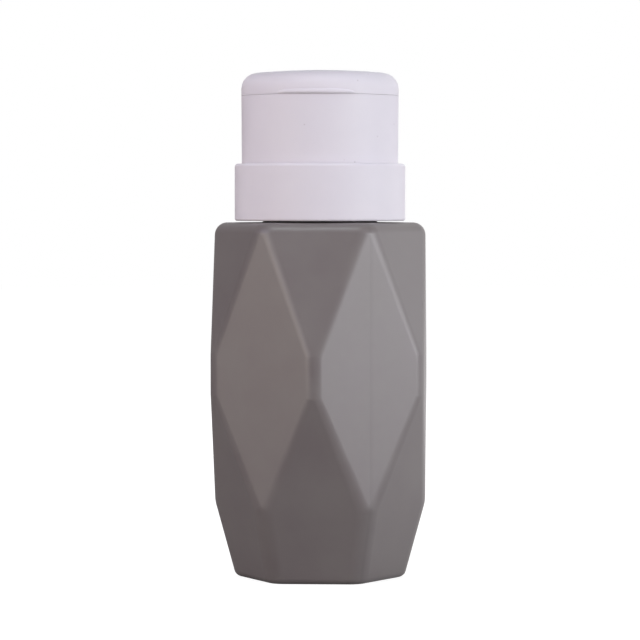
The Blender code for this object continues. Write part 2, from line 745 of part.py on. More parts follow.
def dish_outline():
    """Outline of the dish: shallow bowl, rim on the head's ledge, stem socket below."""
    sagitta = DISH_DEPTH
    chord = DISH_BOWL_RADIUS - DISH_FLAT_RADIUS
    bowl = []
    for step in range(BOWL_STEPS + 1):
        share = step / BOWL_STEPS
        bowl.append((DISH_FLAT_RADIUS + chord * share, sagitta * share ** 2))
    stem_fit = STEM_RADIUS + FIT
    throat = OUTLET_STEM_RADIUS + FIT
    upper = [(radius, DISH_TOP + rise) for radius, rise in bowl]
    lower = [(radius - DISH_RIM_WIDTH * rise / sagitta, DISH_BOTTOM + rise) for radius, rise in bowl]
    return (
        [(throat, DISH_BOTTOM), (stem_fit, DISH_BOTTOM), (stem_fit, SOCKET_FOOT)]
        + [(SOCKET_RADIUS, SOCKET_FOOT), (SOCKET_RADIUS, DISH_BOTTOM)]
        + lower[1:-1]
        + [(DISH_BOWL_RADIUS - DISH_RIM_WIDTH, DISH_RIM_BOTTOM), (DISH_RADIUS, DISH_RIM_BOTTOM)]
        + [(DISH_RADIUS, DISH_RIM_TOP)]
        + upper[::-1]
        + [(throat, DISH_TOP)]
    )


def build_dish(material):
    """Concave dish that takes the pad and hands the push on to the stem."""
    return turned("press_dish", dish_outline(), material, FINE_STEPS)


def build_outlet_cap(material):
    """Small button over the outlet, with a ring of holes and a stem in the dish."""
    foot = DISH_TOP + FIT
    top = foot + OUTLET_HEIGHT
    stem_foot = DISH_BOTTOM + FIT
    round_middle = (OUTLET_RADIUS - OUTLET_ROUND, top - OUTLET_ROUND)
    cap = turned(
        "outlet_cap",
        [(0.0, stem_foot), (OUTLET_STEM_RADIUS, stem_foot), (OUTLET_STEM_RADIUS, foot)]
        + [(OUTLET_RADIUS, foot)]
        + arc(round_middle, OUTLET_ROUND, 0.0, 90.0, ROUND_STEPS)
        + [(0.0, top)],
        material,
        SMALL_STEPS,
        closed=False,
    )
    for hole in range(OUTLET_HOLES):
        angle = math.tau * (hole + 0.5) / OUTLET_HOLES
        centre = (
            OUTLET_HOLE_CIRCLE_RADIUS * math.cos(angle),
            OUTLET_HOLE_CIRCLE_RADIUS * math.sin(angle),
            (stem_foot + top) / 2,
        )
        mesh = bmesh.new()
        bmesh.ops.create_cone(
            mesh,
            cap_ends=True,
            segments=TINY_STEPS // 2,
            radius1=OUTLET_HOLE_RADIUS,
            radius2=OUTLET_HOLE_RADIUS,
            depth=top - stem_foot + OVERRUN,
            matrix=Matrix.Translation(centre),
        )
        cut_by(cap, make_object(f"outlet_hole_guide_{hole}", mesh))
    return cap


def lid_outline():
    """Outline of the lid's shell: plain wall, round shoulder and low crown."""
    shoulder = LID_TOP - LID_CROWN
    middle = (HEAD_TOP_RADIUS - LID_CORNER_ROUND, shoulder - LID_CORNER_ROUND)
    inner_round = LID_CORNER_ROUND - LID_WALL
    foot_middle = (HEAD_TOP_RADIUS - LID_FOOT_ROUND, LID_FOOT + LID_FOOT_ROUND)
    crown = []
    for step in range(1, CROWN_STEPS):
        share = step / CROWN_STEPS
        crown.append((middle[0] * (1 - share), LID_TOP - LID_CROWN * (1 - share) ** 2))
    return (
        [(0.0, LID_CEILING)]
        + arc(middle, inner_round, 90.0, 0.0, ROUND_STEPS)
        + [(HEAD_TOP_RADIUS - LID_WALL, LID_FOOT)]
        + arc(foot_middle, LID_FOOT_ROUND, -90.0, 0.0, EDGE_STEPS)
        + arc(middle, LID_CORNER_ROUND, 0.0, 90.0, ARC_STEPS + 1)
        + crown
        + [(0.0, LID_TOP)]
    )


def build_thumb_lip():
    """Low raised lip on the front of the lid, cut from a ring by a block."""
    outer = HEAD_TOP_RADIUS + THUMB_LIP_REACH
    inner = HEAD_TOP_RADIUS - LID_WALL / 2
    foot = LID_FOOT + LID_FOOT_ROUND
    top = foot + THUMB_LIP_HEIGHT
    lip = turned(
        "thumb_lip_guide",
        [
            (inner, foot),
            (outer - LID_FOOT_ROUND, foot),
            (outer, foot + LID_FOOT_ROUND),
            (outer, top - THUMB_LIP_ROUND),
            (outer - THUMB_LIP_REACH * THUMB_LIP_BREAK_SHARE, top - THUMB_LIP_ROUND * THUMB_LIP_BREAK_SHARE),
            (outer - THUMB_LIP_REACH, top),
            (inner, top),
        ],
    )
    block = box(
        "thumb_block_guide",
        (-THUMB_LIP_HALF_WIDTH, -outer - OVERRUN, LID_FOOT - THUMB_LIP_HEIGHT),
        (THUMB_LIP_HALF_WIDTH, -HINGE_DISTANCE / 2, top + FIT),
        THUMB_LIP_ROUND,
    )
    cut_by(lip, block, "INTERSECT")
    return lip


def build_lid(material):
    """Flip lid with its thumb lip in front and the hinge tongue and pegs behind."""
    lid = turned("flip_lid", lid_outline(), material, FINE_STEPS, closed=False)
    notch_half = EAR_OUTER + FIT
    notch_top = HINGE_HEIGHT + EAR_RADIUS + HINGE_NOTCH_MARGIN
    back = HEAD_TOP_RADIUS + OVERRUN
    notch = box(
        "lid_notch_guide",
        (-notch_half, HINGE_DISTANCE - EAR_RADIUS - LID_WALL, LID_FOOT - OVERRUN),
        (notch_half, back, notch_top),
    )
    place = (HINGE_DISTANCE, HINGE_HEIGHT)
    knuckle = rod_along_x("knuckle_guide", KNUCKLE_RADIUS, -KNUCKLE_HALF_WIDTH, KNUCKLE_HALF_WIDTH, place)
    pegs = rod_along_x("peg_guide", PEG_RADIUS, -PEG_REACH, PEG_REACH, place)
    web = box(
        "hinge_web_guide",
        (FIT - KNUCKLE_HALF_WIDTH, HEAD_TOP_RADIUS - LID_WALL + FIT, HINGE_HEIGHT),
        (KNUCKLE_HALF_WIDTH - FIT, HEAD_TOP_RADIUS - FIT, notch_top + LID_WALL / 2),
    )
    cut_by(lid, build_thumb_lip(), "UNION")
    cut_by(lid, notch)
    for piece in (web, knuckle, pegs):
        cut_by(lid, piece, "UNION")
    return lid


def build_stopper(material):
    """Soft stopper under the lid: a disc and a ring that closes round the outlet."""
    ring_inner = STOPPER_RING_RADIUS - STOPPER_RING_WALL
    return turned(
        "lid_stopper",
        [
            (0.0, STOPPER_BOTTOM),
            (ring_inner, STOPPER_BOTTOM),
            (ring_inner, STOPPER_RING_BOTTOM),
            (STOPPER_RING_RADIUS, STOPPER_RING_BOTTOM),
            (STOPPER_RING_RADIUS, STOPPER_BOTTOM),
            (STOPPER_RADIUS, STOPPER_BOTTOM),
            (STOPPER_RADIUS, STOPPER_TOP),
            (0.0, STOPPER_TOP),
        ],
        material,
        SMALL_STEPS,
        closed=False,
    )


def add_axis(name, place, parent=None):
    """Empty that marks a moving group's axis and carries its pieces."""
    axis = bpy.data.objects.new(name, None)
    bpy.context.collection.objects.link(axis)
    axis.empty_display_size = COLLAR_RADIUS
    axis.location = place
    if parent is not None:
        attach(axis, parent)
    return axis


def attach(item, parent):
    """Parent an item without moving it."""
    bpy.context.view_layer.update()
    item.parent = parent
    item.matrix_parent_inverse = parent.matrix_world.inverted()


def main():
    """Build every piece and hang it on its axis."""
    clear_scene()
    grey = make_material("grey_hdpe", (0.20, 0.18, 0.17), 0.45)
    white = make_material("white_polypropylene", (0.78, 0.74, 0.78), 0.30)
    natural = make_material("natural_polypropylene", (0.80, 0.80, 0.76), 0.35)
    clear = make_material("clear_polyethylene", (0.82, 0.84, 0.84), 0.25)
    soft = make_material("soft_polyethylene", (0.85, 0.85, 0.85), 0.55)
    steel = make_material("stainless_steel", (0.62, 0.61, 0.59), 0.25, 1.0)
    glass = make_material("glass", (0.85, 0.90, 0.88), 0.05)

    bottle = build_bottle(grey)
    pump = add_axis("pump_axis", (0.0, 0.0, NECK_TOP))
    collar = add_axis("collar_axis", (0.0, 0.0, NECK_TOP), pump)
    plunger = add_axis("press_axis", (0.0, 0.0, CAP_TOP), pump)
    head = add_axis("swivel_axis", (0.0, 0.0, STEM_TOP), plunger)
    lid = add_axis("lid_hinge_axis", (0.0, HINGE_DISTANCE, HINGE_HEIGHT), head)

    attach(pump, bottle)
    attach(build_collar(white), collar)
    inlet_ball = build_ball("inlet_ball", INLET_BALL_RADIUS, VALVE_HOLE_RADIUS, CAGE_FLOOR, glass)
    for piece in (
        build_gasket(soft),
        build_cylinder(natural),
        build_cylinder_cap(natural),
        build_dip_tube(clear),
        build_spring(steel),
        inlet_ball,
    ):
        attach(piece, pump)
    outlet_ball = build_ball("outlet_ball", OUTLET_BALL_RADIUS, STEM_BORE_RADIUS, OUTLET_SEAT, glass)
    for piece in (build_piston_rod(natural), build_stem(white), build_piston_seal(clear), outlet_ball):
        attach(piece, plunger)
    for piece in (build_head(white), build_dish(white), build_outlet_cap(white)):
        attach(piece, head)
    flip_lid = build_lid(white)
    for piece in (flip_lid, build_stopper(soft)):
        attach(piece, lid)
    print(f"pump lifts clear of the neck after {PUMP_LIFT * 1000:.1f} mm")


main()
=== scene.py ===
"""Looks of a faceted bottle with a push-down pump and a flip lid, for nail polish remover.

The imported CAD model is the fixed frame.  Each sub-assembly is a class that builds finer
meshes in place of its CAD nodes and gives each one its finish.  Lengths in the fields
are millimetres, as on a moulder's drawing, and become metres when a mesh is made.
"""

import logging
import math
from collections.abc import Callable, Sequence
from dataclasses import dataclass
from enum import Enum

import bmesh
import bpy
from mathutils import Matrix, Vector


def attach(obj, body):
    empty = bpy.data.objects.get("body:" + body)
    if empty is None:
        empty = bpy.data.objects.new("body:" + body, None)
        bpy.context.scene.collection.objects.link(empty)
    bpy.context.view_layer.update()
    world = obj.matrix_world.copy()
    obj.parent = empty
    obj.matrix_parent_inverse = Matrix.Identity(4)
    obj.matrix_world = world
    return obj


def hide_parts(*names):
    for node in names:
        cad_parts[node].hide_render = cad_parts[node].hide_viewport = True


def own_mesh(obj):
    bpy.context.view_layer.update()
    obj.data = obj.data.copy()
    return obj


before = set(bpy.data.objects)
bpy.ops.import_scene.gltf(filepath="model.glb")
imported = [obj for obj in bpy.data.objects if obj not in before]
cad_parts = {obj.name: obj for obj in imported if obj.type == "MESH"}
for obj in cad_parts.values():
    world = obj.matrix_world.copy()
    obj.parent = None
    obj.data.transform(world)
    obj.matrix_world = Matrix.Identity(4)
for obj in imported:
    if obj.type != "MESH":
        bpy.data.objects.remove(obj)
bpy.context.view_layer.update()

LOG = logging.getLogger("scene")

# A millimetre in metres.
MM = 0.001
# Points this close are one point, and edges this short go after a cut, in metres.
MERGE = 0.000001
SLIVER = 0.000008
# Steps of a full turn: small pieces, the stopper and the skin's discs, wide pieces, outer walls, threads.
SMALL_STEPS = 64
MEDIUM_STEPS = 96
FINE_STEPS = 128
WALL_STEPS = 192
THREAD_STEPS = 120
# Segments of an outline's rounding, and of one up to SMALL_ROUND mm or of a solid's edge.
ROUND_SEGMENTS = 5
SMALL_SEGMENTS = 3
SMALL_ROUND = 0.2
# Edges sharper than the first stay sharp to the eye, and faces that differ less than the second join.
SHARP_DEGREES = 32.0
FLAT_DEGREES = 0.05
# Climb of one turn of the thread, and what is left of its ridge where it has run out, mm.
THREAD_PITCH = 4.23
HAIR = 0.001
# Direction of the bottle mould's parting plane round the Z axis.
SEAM_DEGREES = -58.6
# Gap between pieces that move on each other, and how far a cutting solid reaches too far, mm.
PLAY = 0.3
OVERCUT = 2.0

Mesh = bmesh.types.BMesh
Item = bpy.types.Object
Tree = bpy.types.NodeTree
Socket = bpy.types.NodeSocket
Settings = dict[str | int, object]
Point = tuple[float, float, float]
# Corners of a turned piece as radius, height and rounding, and of a coil as radius and height.
Outline = Sequence[tuple[float, float, float]]
Section = Sequence[tuple[float, float]]
# Where a point of a coil's section goes at a share of the coil's length.
Bend = Callable[[float, Vector], Vector]


class Body(Enum):
    """Moving groups of the frame that a piece may ride on."""

    BOTTLE = "bottle"
    PUMP = "pump"
    COLLAR = "collar"
    PLUNGER = "plunger"
    HEAD = "head"
    LID = "lid"
    PISTON = "piston"
    INLET = "inlet_valve"
    OUTLET = "outlet_valve"


class Slot(Enum):
    """Material slots."""

    GREY = "bottle_grey"
    WHITE = "pump_white"
    NATURAL = "pump_natural"
    CLEAR = "tube_clear"
    SOFT = "soft_seal"
    STEEL = "spring_steel"
    GLASS = "ball_glass"


class Joining(Enum):
    """Ways in which a solid changes a piece."""

    CUT = "DIFFERENCE"
    ADD = "UNION"


def linear(colour: str) -> tuple[float, float, float, float]:
    """Turn an sRGB hex colour to the linear values that a shader takes.

    Args:
        colour: Six hex digits after a hash sign.

    Returns:
        Linear red, green, blue and an alpha of one.
    """
    shares = [int(colour[place:place + 2], 16) / 255 for place in (1, 3, 5)]
    flat = [s / 12.92 if s <= 0.04045 else ((s + 0.055) / 1.055) ** 2.4 for s in shares]
    return (flat[0], flat[1], flat[2], 1.0)


def add_node(
    tree: Tree,
    kind: str,
    options: Settings | None = None,
    values: Settings | None = None,
    links: dict[str | int, Socket] | None = None,
) -> bpy.types.Node:
    """Add one node, set it up and link its inputs.

    Args:
        tree: Node tree that takes the node.
        kind: Blender's name of the node type.
        options: Properties of the node, by name.
        values: Fixed inputs, by name or number.
        links: Sockets that feed the inputs, by name or number.

    Returns:
        The new node.
    """
    node = tree.nodes.new(kind)
    for name, option in (options or {}).items():
        setattr(node, str(name), option)
    for name, value in (values or {}).items():
        node.inputs[name].default_value = value
    for name, socket in (links or {}).items():
        tree.links.new(socket, node.inputs[name])
    return node


def per_metre(size: float) -> float:
    """Scale of a noise whose features measure size millimetres."""
    return 1.0 / (size * MM)


@dataclass(frozen=True)
class Finish:
    """A surface: what it is made of, its two tones, and its fine relief.

    Attributes:
        name: Real material and how its surface was made.
        colour: Main tone, sRGB hex.
        second: Tone of the slow mottling, sRGB hex.
        mottle: Size of the mottling, mm.
        roughness: Middle of the roughness.
        rough_spread: How far the roughness drifts to either side.
        grain: Size of the surface grain, mm.
        grain_depth: Height of the grain, mm.
        ior: Index of refraction.
        metallic: One for a metal.
        clear: Share of light that passes through.
        sheen_level: Strength of the reflection; a half is a polished surface.
        bleed: Share of the light that spreads under the surface.
        bleed_depth: How far it spreads, mm.
    """

    name: str
    colour: str
    second: str
    mottle: float = 14.0
    roughness: float = 0.4
    rough_spread: float = 0.03
    grain: float = 0.5
    grain_depth: float = 0.002
    ior: float = 1.5
    metallic: float = 0.0
    clear: float = 0.0
    sheen_level: float = 0.5
    bleed: float = 0.0
    bleed_depth: float = 1.0

    def material(self) -> bpy.types.Material:
        """Build the finish.

        Returns:
            The material, made once and then shared by its pieces.
        """
        found = bpy.data.materials.get(self.name)
        if found is not None:
            return found
        material = bpy.data.materials.new(self.name)
        material.use_nodes = True
        tree = material.node_tree
        place = add_node(tree, "ShaderNodeTexCoord").outputs["Object"]
        noise = {"Scale": per_metre(self.mottle), "Detail": 3.0, "Roughness": 0.55}
        drift = add_node(tree, "ShaderNodeTexNoise", {}, noise, {"Vector": place}).outputs["Fac"]
        # Noise stays near its middle, so a narrow span draws it out to both tones.
        middle = {"From Min": 0.35, "From Max": 0.65}
        share = add_node(tree, "ShaderNodeMapRange", {}, middle, {"Value": drift}).outputs["Result"]
        tones = {6: linear(self.colour), 7: linear(self.second)}
        colour = add_node(tree, "ShaderNodeMix", {"data_type": "RGBA"}, tones, {0: share}).outputs[2]
        spread = {
            "From Min": 0.3,
            "From Max": 0.7,
            "To Min": self.roughness - self.rough_spread,
            "To Max": self.roughness + self.rough_spread,
        }
        sheen = add_node(tree, "ShaderNodeMapRange", {}, spread, {"Value": drift}).outputs["Result"]
        depth = {"Strength": 1.0, "Distance": self.grain_depth * MM}
        height = {"Height": self.relief(tree, place)}
        relief = add_node(tree, "ShaderNodeBump", {}, depth, height).outputs["Normal"]
        inputs = tree.nodes["Principled BSDF"].inputs
        fed = {"Base Color": self.tint(tree, place, colour), "Roughness": sheen, "Normal": relief}
        for name, socket in fed.items():
            tree.links.new(socket, inputs[name])
        fixed = {
            "IOR": self.ior,
            "Metallic": self.metallic,
            "Transmission Weight": self.clear,
            "Specular IOR Level": self.sheen_level,
            "Subsurface Weight": self.bleed,
            "Subsurface Scale": self.bleed_depth * MM,
            "Subsurface Radius": (1.0, 1.0, 1.0),
        }
        for name, value in fixed.items():
            inputs[name].default_value = value
        return material

    def tint(self, tree: Tree, place: Socket, colour: Socket) -> Socket:
        """Colour of the surface; a plain finish keeps its mottled tones."""
        return colour

    def relief(self, tree: Tree, place: Socket) -> Socket:
        """Height of the fine relief; a plain finish has an even grain."""
        noise = {"Scale": per_metre(self.grain), "Detail": 2.0}
        return add_node(tree, "ShaderNodeTexNoise", {}, noise, {"Vector": place}).outputs["Fac"]


@dataclass(frozen=True)
class BlownHdpe(Finish):
    """Blow-moulded high-density polyethylene with a satin mould finish.

    Along the mould's parting plane the colour is darkened in a fine line: painted shade of the parting
    line's ridge.

    Attributes:
        painted_seam_width: Half the width of the darker line, mm.
        painted_seam_shade: How much of the colour is left in the line.
    """

    painted_seam_width: float = 0.9
    painted_seam_shade: float = 0.955

    def tint(self, tree: Tree, place: Socket, colour: Socket) -> Socket:
        """Darken the colour close to the parting plane: painted shade along the parting line.

        Args:
            tree: Node tree of the material.
            place: Object coordinates.
            colour: Mottled colour.

        Returns:
            The colour with the painted shade of its parting line.
        """
        # Painted shade: a narrow band about the parting plane keeps only part of the colour, standing in
        # for the shade along the parting line's ridge.
        across = math.radians(SEAM_DEGREES + 90.0)
        plane = {1: (math.cos(across), math.sin(across), 0.0)}
        side = add_node(tree, "ShaderNodeVectorMath", {"operation": "DOT_PRODUCT"}, plane, {0: place})
        away = add_node(tree, "ShaderNodeMath", {"operation": "ABSOLUTE"}, {}, {0: side.outputs["Value"]})
        smooth = {"interpolation_type": "SMOOTHSTEP"}
        span = {"From Max": self.painted_seam_width * MM, "To Min": self.painted_seam_shade}
        line = add_node(tree, "ShaderNodeMapRange", smooth, span, {"Value": away.outputs[0]})
        links = {0: colour, "Scale": line.outputs["Result"]}
        return add_node(tree, "ShaderNodeVectorMath", {"operation": "SCALE"}, {}, links).outputs["Vector"]


@dataclass(frozen=True)
class MouldedPp(Finish):
    """Injection-moulded polypropylene with the few specks that a white part picks up.

    Attributes:
        speck_spacing: Distance between specks, mm.
        speck: Radius of a speck as a share of the spacing.
        speck_colour: Tone of a speck, sRGB hex.
        speck_share: Share of that tone in the middle of a speck.
    """

    speck_spacing: float = 6.5
    speck: float = 0.024
    speck_colour: str = "#A79CA0"
    speck_share: float = 0.4

    def tint(self, tree: Tree, place: Socket, colour: Socket) -> Socket:
        """Scatter small specks over the colour.

        Args:
            tree: Node tree of the material.
            place: Object coordinates.
            colour: Mottled colour.

        Returns:
            The colour with its specks.
        """
        cells = {"Scale": per_metre(self.speck_spacing)}
        near = add_node(tree, "ShaderNodeTexVoronoi", {}, cells, {"Vector": place}).outputs["Distance"]
        span = {
            "From Min": self.speck,
            "From Max": self.speck * 2.0,
            "To Min": self.speck_share,
            "To Max": 0.0,
        }
        spot = add_node(tree, "ShaderNodeMapRange", {}, span, {"Value": near}).outputs["Result"]
        tone = {7: linear(self.speck_colour)}
        return add_node(tree, "ShaderNodeMix", {"data_type": "RGBA"}, tone, {0: spot, 6: colour}).outputs[2]


@dataclass(frozen=True)
class DrawnWire(Finish):
    """Hard-drawn stainless wire, whose grain is die marks that run along it.

    Attributes:
        shrink: Scale of the pattern round the coil, which makes the marks long there.
    """

    shrink: float = 0.2

    def relief(self, tree: Tree, place: Socket) -> Socket:
        """Fine marks, short up the coil and long round it.

        Args:
            tree: Node tree of the material.
            place: Object coordinates.

        Returns:
            Height of the marks.
        """
        scale = {"Scale": (self.shrink, self.shrink, 1.0)}
        drawn = add_node(tree, "ShaderNodeMapping", {}, scale, {"Vector": place}).outputs["Vector"]
        return super().relief(tree, drawn)


FINISHES: dict[Slot, Finish] = {
    # Satin, warm grey, with a slow mottling of the blown wall, an eggshell grain and painted shade along
    # the mould's parting line.
    Slot.GREY: BlownHdpe(
        "hdpe_blow_moulded_grey", "#696262", "#6D6766", 16.0, 0.4, 0.03, 0.45, 0.003, 1.53, sheen_level=0.4
    ),
    # Opaque white with a violet cast; smooth and half glossy from a polished mould.
    Slot.WHITE: MouldedPp(
        "pp_injection_moulded_white", "#D3CED5", "#D6D1D7", 18.0, 0.5, 0.03, 0.7, 0.0015, 1.49,
        sheen_level=0.25, bleed=0.3,
    ),
    # Undyed polypropylene is milky and a little yellow.
    Slot.NATURAL: Finish(
        "pp_injection_moulded_natural", "#D9D9D2", "#DEDED8", 9.0, 0.34, 0.04, 0.5, 0.0015, 1.49, clear=0.25
    ),
    # Extruded polyethylene tube is clear with a haze.
    Slot.CLEAR: Finish(
        "ldpe_extruded_clear", "#DDE2E2", "#E6EAEA", 6.0, 0.34, 0.04, 0.4, 0.002, 1.51, clear=0.4
    ),
    # Soft polyethylene is waxy and dull.
    Slot.SOFT: Finish("ldpe_moulded_soft", "#D4D3D0", "#DCDBD8", 5.0, 0.55, 0.04, 0.35, 0.003, 1.51),
    # Bright wire with a straw tint from its heat treatment.
    Slot.STEEL: DrawnWire(
        "stainless_drawn_wire", "#B9B4AB", "#C4C0B8", 4.0, 0.24, 0.06, 0.06, 0.001, metallic=1.0
    ),
    # Soda-lime glass with a faint green.
    Slot.GLASS: Finish(
        "soda_glass_ground_ball", "#E4EFEA", "#E9F2EE", 3.0, 0.03, 0.01, 0.5, 0.0002, 1.52, clear=1.0
    ),
}


def lathe(outline: Outline, steps: int = FINE_STEPS, closed: bool = True) -> Mesh:
    """Round the corners of an outline and turn it once round the Z axis.

    Args:
        outline: Corners as radius, height and rounding, in mm.
        steps: Steps of the full turn.
        closed: Whether a wall joins the last corner to the first; one on the axis never does.

    Returns:
        The turned surface.
    """
    mesh = bmesh.new()
    corners = [mesh.verts.new((radius * MM, 0.0, height * MM)) for radius, height, _ in outline]
    mesh.faces.new(corners)
    spare = {edge for edge in mesh.edges if all(abs(vert.co.x) < MERGE for vert in edge.verts)}
    if not closed:
        spare.add(mesh.edges.get((corners[-1], corners[0])))
    ends = {vert for edge in spare for vert in edge.verts}
    for corner, (_, _, rounding) in zip(corners, outline):
        if rounding and corner not in ends:
            round_corner(mesh, corner, rounding * MM)
    bmesh.ops.delete(mesh, geom=mesh.faces[:], context="FACES_ONLY")
    bmesh.ops.delete(mesh, geom=list(spare), context="EDGES")
    bmesh.ops.spin(
        mesh,
        geom=mesh.verts[:] + mesh.edges[:],
        cent=(0.0, 0.0, 0.0),
        axis=(0.0, 0.0, 1.0),
        angle=math.tau,
        steps=steps,
        use_merge=True,
    )
    bmesh.ops.remove_doubles(mesh, verts=mesh.verts[:], dist=MERGE)
    bmesh.ops.recalc_face_normals(mesh, faces=mesh.faces[:])
    return mesh


def round_corner(mesh: Mesh, corner: bmesh.types.BMVert, radius: float) -> None:
    """Round one corner of a flat outline to a radius.

    Args:
        mesh: Mesh that holds the outline as one face.
        corner: Corner to round.
        radius: Radius of the rounding, in metres.
    """
    arms = [(edge.other_vert(corner).co - corner.co).normalized() for edge in corner.link_edges]
    opening = arms[0].angle(arms[1])
    bmesh.ops.bevel(
        mesh,
        geom=[corner],
        offset=radius / math.tan(opening / 2.0),
        segments=ROUND_SEGMENTS if radius > SMALL_ROUND * MM else SMALL_SEGMENTS,
        profile=0.5,
        affect="VERTICES",
        material=-1,
    )


def coil(section: Section, pitch: float, turns: float, steps: int, start: float, bend: Bend) -> Mesh:
    """Wind a small section round the Z axis as it climbs, such as a thread or a wire.

    Args:
        section: Corners of the section as radius and height, in mm.
        pitch: Climb of one turn, mm.
        turns: Number of turns.
        steps: Steps of the whole coil.
        start: Direction in which the coil starts, degrees.
        bend: Where a point of the section, in mm, goes at a share of the length.

    Returns:
        The closed coil.
    """
    mesh = bmesh.new()
    corners = [mesh.verts.new((radius * MM, 0.0, height * MM)) for radius, height in section]
    face = mesh.faces.new(corners)
    bmesh.ops.spin(
        mesh,
        geom=[face] + list(face.edges) + corners,
        cent=(0.0, 0.0, 0.0),
        axis=(0.0, 0.0, 1.0),
        dvec=(0.0, 0.0, pitch * MM * turns / steps),
        angle=math.tau * turns,
        steps=steps,
        use_merge=False,
    )
    for number, vert in enumerate(mesh.verts):
        share = number // len(corners) / steps
        climb = pitch * MM * turns * share
        level = Vector((math.hypot(vert.co.x, vert.co.y), 0.0, vert.co.z - climb)) / MM
        bent = bend(share, level)
        ratio = bent.x / level.x
        vert.co = (vert.co.x * ratio, vert.co.y * ratio, bent.z * MM + climb)
    turn = Matrix.Rotation(math.radians(start), 4, "Z")
    bmesh.ops.transform(mesh, matrix=turn, verts=mesh.verts[:])
    bmesh.ops.recalc_face_normals(mesh, faces=mesh.faces[:])
    return mesh


def thread_ridge(section: Section, turns: float, start: float, fade: float) -> Mesh:
    """Wind the ridge of a screw thread, which runs in and out at its ends.

    Args:
        section: Corners of the ridge where it starts, from root to root, in mm.
        turns: Its length in turns.
        start: Direction in which it starts, degrees.
        fade: Length of the run-out at each end, in turns.

    Returns:
        The closed ridge.
    """
    root = section[0][0]
    hair = math.copysign(HAIR, section[1][0] - root)

    def run_out(share: float, point: Vector) -> Vector:
        """Lower the ridge near its ends."""
        full = min(1.0, min(share, 1.0 - share) * turns / fade)
        return Vector((root + (point.x - root) * math.sqrt(full) + hair, 0.0, point.z))

    return coil(section, THREAD_PITCH, turns, round(turns * THREAD_STEPS), start, run_out)


def block(low: Point, high: Point, rounding: float = 0.0) -> Mesh:
    """Make a block between two corners with rounded edges.

    Args:
        low: Lowest corner, mm.
        high: Highest corner, mm.
        rounding: Radius of the edges, mm.

    Returns:
        The block.
    """
    mesh = bmesh.new()
    start, end = Vector(low) * MM, Vector(high) * MM
    size = Matrix.Diagonal((*(end - start), 1.0))
    bmesh.ops.create_cube(mesh, size=1.0, matrix=Matrix.Translation((start + end) / 2) @ size)
    soften(mesh, mesh.edges[:], rounding)
    return mesh


def pin(radius: float, start: float, end: float, place: tuple[float, float], rounding: float = 0.0) -> Mesh:
    """Make a round bar along X with rounded ends.

    Args:
        radius: Radius of the bar, mm.
        start: Where it starts along X, mm.
        end: Where it ends along X, mm.
        place: Y and Z of its axis, mm.
        rounding: Radius of its end edges, mm.

    Returns:
        The bar.
    """
    mesh = bmesh.new()
    middle = Matrix.Translation(Vector(((start + end) / 2, *place)) * MM)
    bmesh.ops.create_cone(
        mesh,
        cap_ends=True,
        segments=SMALL_STEPS,
        radius1=radius * MM,
        radius2=radius * MM,
        depth=(end - start) * MM,
        matrix=middle @ Matrix.Rotation(math.pi / 2, 4, "Y"),
    )
    caps = {face for face in mesh.faces if len(face.verts) > 4}
    rims = [edge for edge in mesh.edges if any(face in caps for face in edge.link_faces)]
    soften(mesh, rims, rounding)
    return mesh


def soften(mesh: Mesh, edges: list[bmesh.types.BMEdge], rounding: float) -> None:
    """Round edges of a solid, or leave them as they are.

    Args:
        mesh: Mesh of the solid.
        edges: Edges to round.
        rounding: Radius of the edges in mm; zero leaves them.
    """
    if rounding:
        bmesh.ops.bevel(
            mesh,
            geom=edges,
            offset=rounding * MM,
            segments=SMALL_SEGMENTS,
            profile=0.5,
            affect="EDGES",
            material=-1,
        )


def add_shell(mesh: Mesh, other: Mesh) -> None:
    """Put a second mesh into the first and free it.

    Args:
        mesh: Mesh that grows.
        other: Mesh that goes into it.
    """
    carrier = bpy.data.meshes.new("carrier")
    other.to_mesh(carrier)
    other.free()
    mesh.from_mesh(carrier)
    bpy.data.meshes.remove(carrier)


def make_item(name: str, mesh: Mesh) -> Item:
    """Turn a mesh into an object at the origin and free it.

    Args:
        name: Name of the object.
        mesh: Mesh in its place, in metres.

    Returns:
        The object.
    """
    data = bpy.data.meshes.new(name)
    mesh.to_mesh(data)
    mesh.free()
    item = bpy.data.objects.new(name, data)
    bpy.context.scene.collection.objects.link(item)
    return item


def carve(item: Item, solid: Mesh, joining: Joining) -> None:
    """Cut a solid from a piece, or add it, and leave plain mesh behind.

    Args:
        item: Piece to change.
        solid: Closed solid.
        joining: Whether the solid is cut or added.
    """
    guide = make_item(f"{item.name}_guide", solid)
    step = item.modifiers.new("carve", "BOOLEAN")
    step.object = guide
    step.operation = joining.value
    step.solver = "EXACT"
    depsgraph = bpy.context.evaluated_depsgraph_get()
    result = bpy.data.meshes.new_from_object(item.evaluated_get(depsgraph))
    item.modifiers.clear()
    clean = bmesh.new()
    clean.from_mesh(result)
    bmesh.ops.remove_doubles(clean, verts=clean.verts[:], dist=SLIVER)
    bmesh.ops.dissolve_degenerate(clean, dist=SLIVER, edges=clean.edges[:])
    clean.to_mesh(result)
    clean.free()
    used = (item.data, guide.data)
    item.data = result
    bpy.data.objects.remove(guide)
    for data in used:
        bpy.data.meshes.remove(data)


